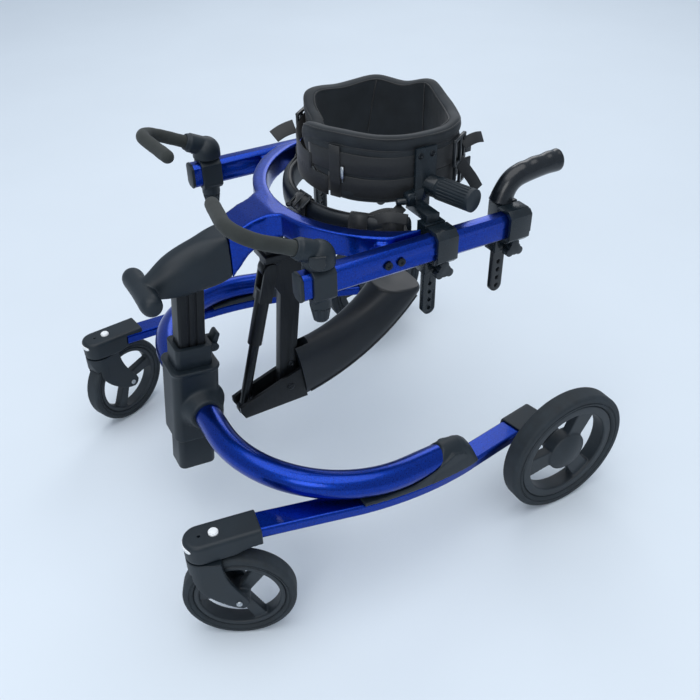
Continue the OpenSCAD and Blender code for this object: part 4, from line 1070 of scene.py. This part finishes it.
class GAIT_OT_chest_pad(bpy.types.Operator):
    """Padded chest ring with its straps, buckles and side plate rivets"""

    bl_idname = "gait.chest_pad"
    bl_label = "Chest pad"

    # Sewn lines across the pad: angle and half width in degrees
    cross_seams = ((152, 1.5), (-57, 1.5), (108, 1.3))

    def sewn(self, angle, k):
        """Whether point k of the smoothed section is held by a seam, the roll, the lining or an edge."""
        along = 8 <= k <= 25 or k >= 59 or k <= 1 or k in (33, 34, 42, 43)
        return along or any(abs(angle - middle) < half for middle, half in self.cross_seams)

    def pad(self):
        """Wall, roll and lining in one loft, swollen between its seams."""
        thick, roll = sizes().pad_thickness, sizes().roll_radius
        count = 150
        rings, seams = [], []
        for i in range(count + 1):
            angle = PAD_START + (PAD_END - PAD_START) * i / count
            radius, rim, low = pad_wall(angle)
            ends = min(angle - PAD_START, PAD_END - angle) / 9
            taper = math.sqrt(max(0.02, 1 - (1 - min(1.0, ends)) ** 2))
            rim -= 20 * MM * (1 - taper)
            section = pad_section(rim, low, thick * (0.35 + 0.65 * taper), roll)
            section = spline([(x, y, 0) for x, y in section], 3, True)
            lean = 36 * (1 - smooth(PAD_START, PAD_START + 48, angle))
            ring = []
            for k, point in enumerate(section):
                slant = lean * smooth(0.15, 1, (rim - point.y) / (rim - low))
                spot = pad_point(angle + slant, radius + point.x, point.y)
                crease = noise.noise(spot * 34) * 1.3 * MM + noise.noise(spot * 90) * 0.5 * MM
                ring.append(spot + pad_out(angle) * crease)
                if i in (0, count) or self.sewn(angle, k):
                    seams.append(i * len(section) + k)
            rings.append(ring)
        pad = loft("chest_pad_cover", rings, pad_polyester)
        fill_out(pad, seams, 3.0, 3.0 * MM)
        subdivide(pad)
        return stand_in(pad, "chest_pad")

    def sew_on(self, piece):
        """Puts webbing, cord or a buckle on the pad."""
        return fitted(piece, "chest_prompt")

    def seam_cord(self, name, drop, out, start, end):
        """Stitched edge round the pad, drop below its rim and out from the wall's middle, in millimetres."""
        path = []
        for k in range(int((end - start) / 2.5) + 1):
            angle = start + 2.5 * k
            radius, rim, _ = pad_wall(angle)
            path.append(pad_point(angle, radius + out * MM, rim - drop * MM))
        self.sew_on(tube(name, path, CORD_RADIUS, strap_webbing))

    def seams(self):
        """Straps sewn round the pad, and the stitched edges of its roll and lining."""
        straps = [
            pad_strap("low_strap", -68, 293, 0.29, 0.1 * MM),
            pad_strap("high_strap", -88, 275, 0.71, 0.1 * MM),
        ]
        stand_in(join("chest_pad_straps", straps), "chest_straps")
        self.seam_cord("neck_seam", NECK_SHARE * sizes().roll_radius / MM, 5.6, -92, 250)
        edge = sizes().pad_thickness / 2 / MM
        self.seam_cord("rim_outer_piping", 2.4, edge * 0.97, -96, 250)
        self.seam_cord("rim_inner_piping", 3.2, -edge * 0.97, -96, 250)
        for number, (start, lean) in enumerate(((108, 0), (152, 8))):
            path = []
            for k in range(9):
                angle = start + lean * k / 8
                radius, rim, _ = pad_wall(angle)
                height = rim - 4 * MM - (rim - 468 * MM) * k / 8
                path.append(pad_point(angle, radius - edge * MM - 0.3 * MM, height))
            self.sew_on(tube(f"lining_seam_{number}", path, CORD_RADIUS, strap_webbing, (1, 0, 0)))

    def front_strip(self):
        """Upright strip on the pad's front, and the zip pull beside it."""
        radius, rim, low = pad_wall(-62)
        out = radius + sizes().pad_thickness / 2 + 1.6 * MM
        heights = (low + 3 * MM, low + 25 * MM, low + 55 * MM, rim - 18 * MM)
        strip = [pad_point(-62, out, z) for z in heights]
        self.sew_on(sweep("pad_strip", strip, strap_outline(15 * MM, 1.6 * MM), pad_out(-62), strap_webbing))
        pull = [pad_point(-56, out + 1.2 * MM, z * MM) for z in (493, 488, 480, 473)]
        grow = [0.7 + 0.6 * math.sin(math.pi * (0.25 + 0.25 * k)) for k in range(4)]
        piece = sweep("zip_pull", pull, strap_outline(3.4 * MM, 1.6 * MM), pad_out(-56), zinc_steel, grow)
        fitted(piece, "chest_prompt")

    def fastenings(self):
        """Buckles, loose strap ends and the rivets of the side plates."""
        for number, (angle, height) in enumerate(((33, 495), (35, 465), (221, 499))):
            spot = pad_point(angle, max(pad_wall(angle)[0], 95 * MM) + 11 * MM, height * MM)
            out = pad_out(angle)
            along = Vector((-out.y, out.x, 0)) * (1 if angle < 180 else -1)
            self.sew_on(strap_buckle(f"pad_buckle_{number}", axes_matrix(spot, along, out)))
        # Points in mm, width in mm and facing of each loose end
        tails = (
            (((87, 149, 498), (86, 160, 501), (85, 171, 502), (83, 181, 500)), 14, (0.75, -0.2, 0.6)),
            (((91, 141, 481), (94, 151, 467), (96, 161, 453), (97, 170, 438)), 16, (0.8, -0.2, 0.45)),
            (((-87, 4, 493), (-90, -7, 490), (-91, -16, 487), (-91, -25, 483)), 19, (0.6, -0.45, 0.65)),
        )
        for number, (points, width, up) in enumerate(tails):
            self.sew_on(strap_run(f"strap_tail_{number}", points, width, up))
        for side, way in SIDES:
            for number, y in enumerate((74, 91)):
                name = f"plate_rivet_{side}_{number}"
                piece = rivet(name, (way * 107.3, y, 507), (way, 0, 0), 4, black_oxide)
                fitted(piece, "chest_prompt")

    def execute(self, context):
        self.pad()
        self.seams()
        self.front_strip()
        self.fastenings()
        return {"FINISHED"}


class GAIT_OT_hip_band(bpy.types.Operator):
    """Padded band across the front of the hip space, with its buckle and wraps"""

    bl_idname = "gait.hip_band"
    bl_label = "Hip band"

    # Centre of the band's arc, its radius, and the height of its middle line
    centre = Vector((0, 98, 0)) * MM
    radius, middle = 134 * MM, 425 * MM
    # Ends of the band in degrees, and where webbing pinches it: angle, width, half of what is sewn
    start, end = -160, -20
    pinches = ((-84, 5, 4), (-47, 4, 3))
    # Wraps of webbing: angle and width in mm, and the half width and half height of their loop
    wraps = ((-47, 22), (-84, 25), (-30, 22), (-150, 22))
    loop_half = (8.8, 19.6)

    def spot(self, angle, out=0.0, up=0.0):
        """Point of the band at an angle, out from its middle line and up, in millimetres."""
        turn = math.radians(angle)
        reach = self.radius + out * MM
        return self.centre + Vector((math.cos(turn) * reach, math.sin(turn) * reach, self.middle + up * MM))

    def out_way(self, angle):
        """Direction away from the band's middle at an angle."""
        return (self.spot(angle, 1) - self.spot(angle)).normalized()

    def sew_on(self, piece):
        """Puts webbing, cord or a buckle on the band."""
        return fitted(piece, "upper_frame")

    def band(self):
        """Flat roll, pinched under its wraps and swollen between its seams."""
        thick = sizes().band_thickness
        rings, seams = [], []
        count, points = 70, 28
        for i in range(count + 1):
            angle = self.start + (self.end - self.start) * i / count
            end = min(1.0, min(i, count - i) / 5)
            swell = 0.55 + 0.45 * math.sqrt(1 - (1 - end) ** 2)
            pinch = 1 - sum(0.22 * hump(angle, middle, width) for middle, width, _ in self.pinches)
            held = any(abs(angle - middle) < half for middle, _, half in self.pinches)
            ring = []
            for k in range(points):
                turn = k * math.tau / points
                x = power(math.cos(turn), 0.75) * thick / 2 * swell * pinch
                z = power(math.sin(turn), 0.75) * 18 * MM * (0.8 + 0.2 * swell)
                base = self.spot(angle, x / MM, z / MM)
                ring.append(base + Vector((0, 0, noise.noise(base * 40) * 1.5 * MM)))
                if k in (7, 21) or i in (0, count) or held:
                    seams.append(i * points + k)
            rings.append(ring)
        band = loft("hip_band", rings, saddle_vinyl)
        fill_out(band, seams, 3.0, 3 * MM)
        subdivide(band)
        stand_in(band, "pelvic_band")

    def wrap(self, number, angle, wide):
        """Webbing closed round the band."""
        lean = math.degrees(wide / 2 * MM / self.radius)
        rings = []
        for k in range(32):
            turn = k * math.tau / 32
            x = power(math.cos(turn), 0.8) * self.loop_half[0]
            z = power(math.sin(turn), 0.8) * self.loop_half[1]
            out = Vector((x, z)).normalized()
            inner = [self.spot(angle + a, x, z) for a in (-lean, lean)]
            outer = [self.spot(angle + a, x + 1.5 * out.x, z + 1.5 * out.y) for a in (lean, -lean)]
            rings.append(inner + outer)
        self.sew_on(loft(f"band_wrap_{number}", rings, strap_webbing, closed=True))

    def execute(self, context):
        self.band()
        for edge, height in (("high", 18.4), ("low", -18.4)):
            path = [self.spot(-156 + 2 * k, 0, height) for k in range(67)]
            self.sew_on(tube(f"band_{edge}_seam", path, 1.1 * MM, strap_webbing))
        for number, (angle, wide) in enumerate(self.wraps):
            self.wrap(number, angle, wide)
        out = self.out_way(-84)
        along = Vector((-out.y, out.x, 0))
        place = axes_matrix(self.spot(-84, 7, 15.5), along, out * 0.55 + Vector((0, 0, 0.83)))
        self.sew_on(strap_buckle("band_buckle", place @ Matrix.Scale(0.74, 4)))
        for side, angle in (("right", -24), ("left", -156)):
            path = [self.spot(angle, o, 0) for o in (0, 9, 18, 27.5)]
            outline = strap_outline(24 * MM, 2.4 * MM)
            self.sew_on(sweep(f"band_tab_{side}", path, outline, self.out_way(angle + 90), strap_webbing))
        return {"FINISHED"}


class GAIT_OT_saddle(bpy.types.Operator):
    """Upholstered saddle with piped edges, slotted at its front for the hanger"""

    bl_idname = "gait.saddle"
    bl_label = "Saddle"

    # Front end of the sling's middle line, its slope there and its rise to the rear in degrees, its radius
    front = Vector((0, -53.5, 172.5)) * MM
    lean, rise, bend = 8.0, 62.0, 250 * MM
    # Share of the sling's length that the cover takes, and by how much its low edge runs on from there
    reach, slant = 0.715, 0.06
    # Corners of the slot in mm from the front end, and its width
    slot_corners, slot_width = ((-40, -8.5), (15, 90)), 17.6

    def section(self, t):
        """Centre, up direction, half width and half height at a share of the length."""
        a, b = math.radians(self.lean), math.radians(self.lean + self.rise * t)
        run, climb = math.sin(b) - math.sin(a), math.cos(a) - math.cos(b)
        up = Vector((0, -math.sin(b), math.cos(b)))
        half, high = 20 + 26 * t * t, 45 * (1 - 0.45 * t)
        return self.front + self.bend * Vector((0, run, climb)), up, half * MM, high * MM

    def cover(self):
        """Upholstery, rounder on top than below, closed at the rear and cut open for the hanger."""
        count, points = 100, 44
        rings = []
        for i in range(count + 1):
            share = i / count
            tail = min(1.0, (1 - share) / 0.04)
            close = 0.8 + 0.2 * math.sqrt(1 - (1 - tail) ** 2)
            ring = []
            for x, z in ring_outline(1, points):
                crown = z > 0
                x, z = power(x, 0.85 if crown else 0.62), power(z, 0.85 if crown else 0.55)
                centre, up, half, high = self.section(share * (self.reach - self.slant * z))
                across = Vector((x * half * (0.4 + 0.6 * close), 0, 0))
                ring.append(centre + across + up * (z * high * close))
            rings.append(ring)
        cover = loft("saddle_cover", rings, saddle_vinyl)
        low, high = (self.front + Vector((0, y, z)) * MM for y, z in self.slot_corners)
        size = Vector((self.slot_width * MM, high.y - low.y, high.z - low.z))
        cutter = soft_box("slot", size, 1 * MM, Matrix.Translation((low + high) / 2), saddle_vinyl)
        cut = cover.modifiers.new("slot", "BOOLEAN")
        cut.object = cutter
        cut.operation = "DIFFERENCE"
        bake(cover)
        bpy.data.objects.remove(cutter)
        cover.data.shade_smooth()
        cover.data.set_sharp_from_angle(angle=math.radians(50))
        stand_in(cover, "saddle_sling")

    def execute(self, context):
        self.cover()
        for side, way in SIDES:
            path = []
            for k in range(46):
                centre, up, half, high = self.section(0.02 + (self.reach - 0.02) * k / 45)
                path.append(centre + Vector((way * half * 0.82, 0, 0)) - up * (high * 0.84))
            radius = sizes().piping_radius
            piece = tube(f"saddle_piping_{side}", path, radius, saddle_vinyl, (1, 0, 0), 10)
            fitted(piece, "saddle")
        return {"FINISHED"}


class GAIT_OT_trim(bpy.types.Operator):
    """Inserts, panels, screw heads and strap links that the solids carry"""

    bl_idname = "gait.trim"
    bl_label = "Trim"

    # Insert of a caster housing: its centre on the swivel axis, radius, middle and half angle, and section
    pivot = Vector((224, -290, 162.5))
    insert_radius, insert_middle, insert_half = 18.9, -94, 42
    insert_section = ((-1.6, -3.4), (1.0, -3.4), (1.5, -2.4), (1.5, 2.0), (1.0, 3.4), (-1.6, 3.4))
    # Straps of the right link between hip band and arm, and its cord catch with its stub, in mm
    link_runs = (
        ((88, 4, 430), (96, 16, 438), (104, 30, 443), (112, 46, 441)),
        ((98, 4, 432), (110, 14, 442), (120, 26, 446), (129, 44, 442)),
        ((112, 10, 428), (116, 22, 439), (116, 34, 446), (110, 48, 450)),
    )
    catch_place, catch_size = (112, 57, 459), (13, 12, 17)
    stub = ((1, -3), (4.2, -3), (4.4, 0), (4.4, 9), (3.6, 11), (1, 11.6))

    def inserts(self):
        """Pale crescents let into the front of the caster housings."""
        for side, way in SIDES:
            rings = []
            for k in range(29):
                share = 2 * k / 28 - 1
                turn = math.radians(self.insert_middle + self.insert_half * share)
                ahead = Vector((math.cos(turn), math.sin(turn), 0))
                tall = math.sqrt(max(0.05, 1 - abs(share) ** 4))
                ring = []
                for out, up in self.insert_section:
                    spot = self.pivot + ahead * (self.insert_radius + out) + Vector((0, 0, up * tall))
                    ring.append(Vector((way * spot.x, spot.y, spot.z)) * MM)
                rings.append(ring)
            fitted(loft(f"housing_insert_{side}", rings, white_abs), "base")

    def knuckle_panels(self):
        """D-shaped covers on the outer faces of the handle knuckles."""
        for side, way in SIDES:
            turns = [math.radians(a) for a in range(0, -181, -15)]
            outline = [(-9, 8), (9, 8)] + [(9 * math.cos(a), -1 + 8 * math.sin(a)) for a in turns]
            out = Vector((way * 0.87, -0.49, 0.05))
            spot = (Vector((way * 167, -94, 453)) + out * 19.2) * MM
            place = axes_matrix(spot, (way * 0.49, 0.87, 0), out)
            piece = plate(f"knuckle_panel_{side}", outline, 2.6, place, gloss_nylon)
            fitted(piece, f"handle_bar_{side}")

    def screws(self):
        """Screw heads on the saddle bars and the yoke."""
        # Name, place on the right in mm, radius in mm and body
        spots = (
            ("hanger_screw_top", (7.2, -44, 353), 5.2, "upper_frame"),
            ("hanger_screw_low", (7.2, -66, 189), 5.0, "upper_frame"),
            ("channel_screw", (17.2, -73.5, 157), 5.6, "saddle"),
        )
        for name, (x, y, z), radius, body in spots:
            for side, way in SIDES:
                piece = rivet(f"{name}_{side}", (way * x, y, z), (way, 0, 0), radius, black_oxide)
                fitted(piece, body)
        piece = rivet("yoke_screw", (17.5, -58, 441.2), (0, 0, 1), 4.2, black_oxide)
        fitted(piece, "upper_frame")

    def links(self):
        """Webbing that ties the hip band to the arms, and the cord catches beside the brackets."""
        for side, way in SIDES:
            for number, points in enumerate(self.link_runs):
                points = [(way * x, y, z) for x, y, z in points]
                piece = strap_run(f"band_link_{side}_{number}", points, 13, (way * 0.7, -0.4, 0.5))
                fitted(piece, "upper_frame")
            x, y, z = self.catch_place
            spot = Vector((way * x, y, z)) * MM
            size = Vector(self.catch_size) * MM
            block = soft_box("catch", size, 3 * MM, Matrix.Translation(spot), gloss_nylon)
            base, ahead = spot + Vector((0, -6, -2)) * MM, (-way * 0.35, -0.93, 0)
            stub = lathe("stub", self.stub, base, ahead, gloss_nylon, 20)
            fitted(join(f"cord_catch_{side}", [block, stub]), "prompt_slide")

    def execute(self, context):
        self.links()
        self.inserts()
        self.knuckle_panels()
        self.screws()
        return {"FINISHED"}


class GAIT_OT_foam(bpy.types.Operator):
    """Foam sleeves and end beads of the front handles"""

    bl_idname = "gait.foam"
    bl_label = "Foam grips"

    # Bar of a handle: angle and radius of its bend, lengths up to the corner and behind it, in mm
    corner, turn_r, to_corner, grip = math.radians(101), 34.0, 107.0, 54.0
    # Where the foam starts, its overhang at the tip in mm, and the share of its length where the tip closes
    seat, bead, tip_start = 30.0, 7.5, 0.955
    # Foot of the right bar on its swivel, and its upward tilt
    foot, tilt = Vector((167, -94, 457.2)), math.radians(-25)

    def line(self):
        """Centre line of a bar, flat, from its foot forwards and round the bend."""
        run = self.to_corner - self.turn_r * math.tan(self.corner / 2)
        line = [Vector((0, -self.seat - (run - self.seat) * k / 12, 0)) for k in range(13)]
        for k in range(1, 19):
            a = self.corner * k / 18
            x, y = self.turn_r * math.cos(a), self.turn_r * math.sin(a)
            line.append(Vector((x - self.turn_r, -run - y, 0)))
        ahead = Vector((-math.sin(self.corner), -math.cos(self.corner), 0))
        return line + [line[-1] + ahead * (self.grip + self.bead) * k / 14 for k in range(1, 15)]

    def swell(self, t, way):
        """Scale of the foam at a share of its length: a little uneven, closed round at the tip."""
        tip = math.sqrt(max(0.0, 1 - max(0.0, (t - self.tip_start) / (1 - self.tip_start)) ** 2))
        return max(0.12, tip) * (1 + 0.05 * noise.noise(Vector((t * 14, way, 0))))

    def execute(self, context):
        outline = ring_outline(sizes().foam_diameter / 2, 22)
        lift = Matrix.Rotation(self.tilt, 3, "X")
        up = lift @ Vector((0, 0, 1))
        for side, way in SIDES:
            path = []
            for point in self.line():
                spot = lift @ point + self.foot
                path.append(Vector((spot.x * way, spot.y, spot.z)) * MM)
            fine = spline(path, 3)
            grow = [self.swell(i / (len(fine) - 1), way) for i in range(len(fine))]
            piece = sweep(f"foam_sleeve_{side}", fine, outline, up, nitrile_foam, grow)
            stand_in(piece, f"foam_grip_{side}")
        return {"FINISHED"}


# Stage


def look_at(origin, target):
    """Rotation of a lamp at origin that faces target."""
    return (Vector(target) - Vector(origin)).to_track_quat("-Z", "Y").to_euler()


class GAIT_OT_stage(bpy.types.Operator):
    """Camera, floor and soft light"""

    bl_idname = "gait.stage"
    bl_label = "Stage"

    # Camera solved from matching features on both sides of the object
    azimuth = math.radians(61.53)
    elevation = math.radians(36.67)
    roll = math.radians(-1.11)
    place = Vector((0.85607, -0.43113, 0.89601))
    focal_share = 815.87 / 700

    def camera(self, scene):
        a, e, r = self.azimuth, self.elevation, self.roll
        back = Vector((math.sin(a) * math.cos(e), -math.cos(a) * math.cos(e), math.sin(e)))
        right = Vector((math.cos(a), math.sin(a), 0))
        up = back.cross(right)
        right, up = math.cos(r) * right + math.sin(r) * up, math.cos(r) * up - math.sin(r) * right
        data = bpy.data.cameras.new("camera")
        data.sensor_width = 36
        data.sensor_fit = "HORIZONTAL"
        data.lens = 36 * self.focal_share
        data.clip_start = 0.02
        camera = bpy.data.objects.new("camera", data)
        turned = Matrix((right, up, back)).transposed().to_4x4()
        camera.matrix_world = Matrix.Translation(self.place) @ turned
        scene.collection.objects.link(camera)
        scene.camera = camera

    def lamp(self, scene, name, place, size, watts):
        data = bpy.data.lights.new(name, "AREA")
        data.shape = "DISK"
        data.size = size
        data.energy = watts
        lamp = bpy.data.objects.new(name, data)
        lamp.location = place
        lamp.rotation_euler = look_at(place, (0, 0, 0.25))
        scene.collection.objects.link(lamp)

    def execute(self, context):
        scene = context.scene
        self.camera(scene)
        reach = 12.0
        corners = [(-reach, -reach, 0), (reach, -reach, 0), (reach, reach, 0), (-reach, reach, 0)]
        new_piece("floor", corners, [(0, 1, 2, 3)], floor_matte)
        self.lamp(scene, "sky_panel", (0.3, -0.4, 3.4), 4.0, 70)
        self.lamp(scene, "front_panel", (2.2, -2.0, 1.9), 1.6, 22)
        self.lamp(scene, "back_panel", (-2.4, 1.8, 2.2), 1.8, 18)
        world = scene.world or bpy.data.worlds.new("world")
        scene.world = world
        world.use_nodes = True
        background = world.node_tree.nodes["Background"]
        background.inputs["Color"].default_value = rgba(linear("#d8e5f5"))
        background.inputs["Strength"].default_value = 0.62
        scene.view_settings.view_transform = "Standard"
        return {"FINISHED"}


OPERATORS = (
    GAIT_OT_stage, GAIT_OT_frame, GAIT_OT_wheels, GAIT_OT_clamps, GAIT_OT_saddle_bars, GAIT_OT_chest_pad,
    GAIT_OT_hip_band, GAIT_OT_saddle, GAIT_OT_foam, GAIT_OT_trim,
)


class GAIT_PT_panel(bpy.types.Panel):
    """Lists the steps that dress the gait trainer"""

    bl_label = "Gait trainer"
    bl_idname = "GAIT_PT_panel"
    bl_space_type = "VIEW_3D"
    bl_region_type = "UI"
    bl_category = "Gait trainer"

    def draw(self, context):
        for operator in OPERATORS:
            self.layout.operator(operator.bl_idname)


CLASSES = (GaitTrainerColours, GaitTrainerSizes) + OPERATORS + (GAIT_PT_panel,)


def register():
    for item in CLASSES:
        bpy.utils.register_class(item)
    bpy.types.Scene.gait_trainer_colours = bpy.props.PointerProperty(type=GaitTrainerColours)
    bpy.types.Scene.gait_trainer_sizes = bpy.props.PointerProperty(type=GaitTrainerSizes)


def unregister():
    del bpy.types.Scene.gait_trainer_sizes
    del bpy.types.Scene.gait_trainer_colours
    for item in reversed(CLASSES):
        bpy.utils.unregister_class(item)


def main():
    register()
    bpy.ops.gait.stage()
    bpy.ops.gait.frame()
    bpy.ops.gait.wheels()
    bpy.ops.gait.clamps()
    bpy.ops.gait.saddle_bars()
    bpy.ops.gait.chest_pad()
    bpy.ops.gait.hip_band()
    bpy.ops.gait.saddle()
    bpy.ops.gait.foam()
    bpy.ops.gait.trim()


if __name__ == "__main__":
    main()
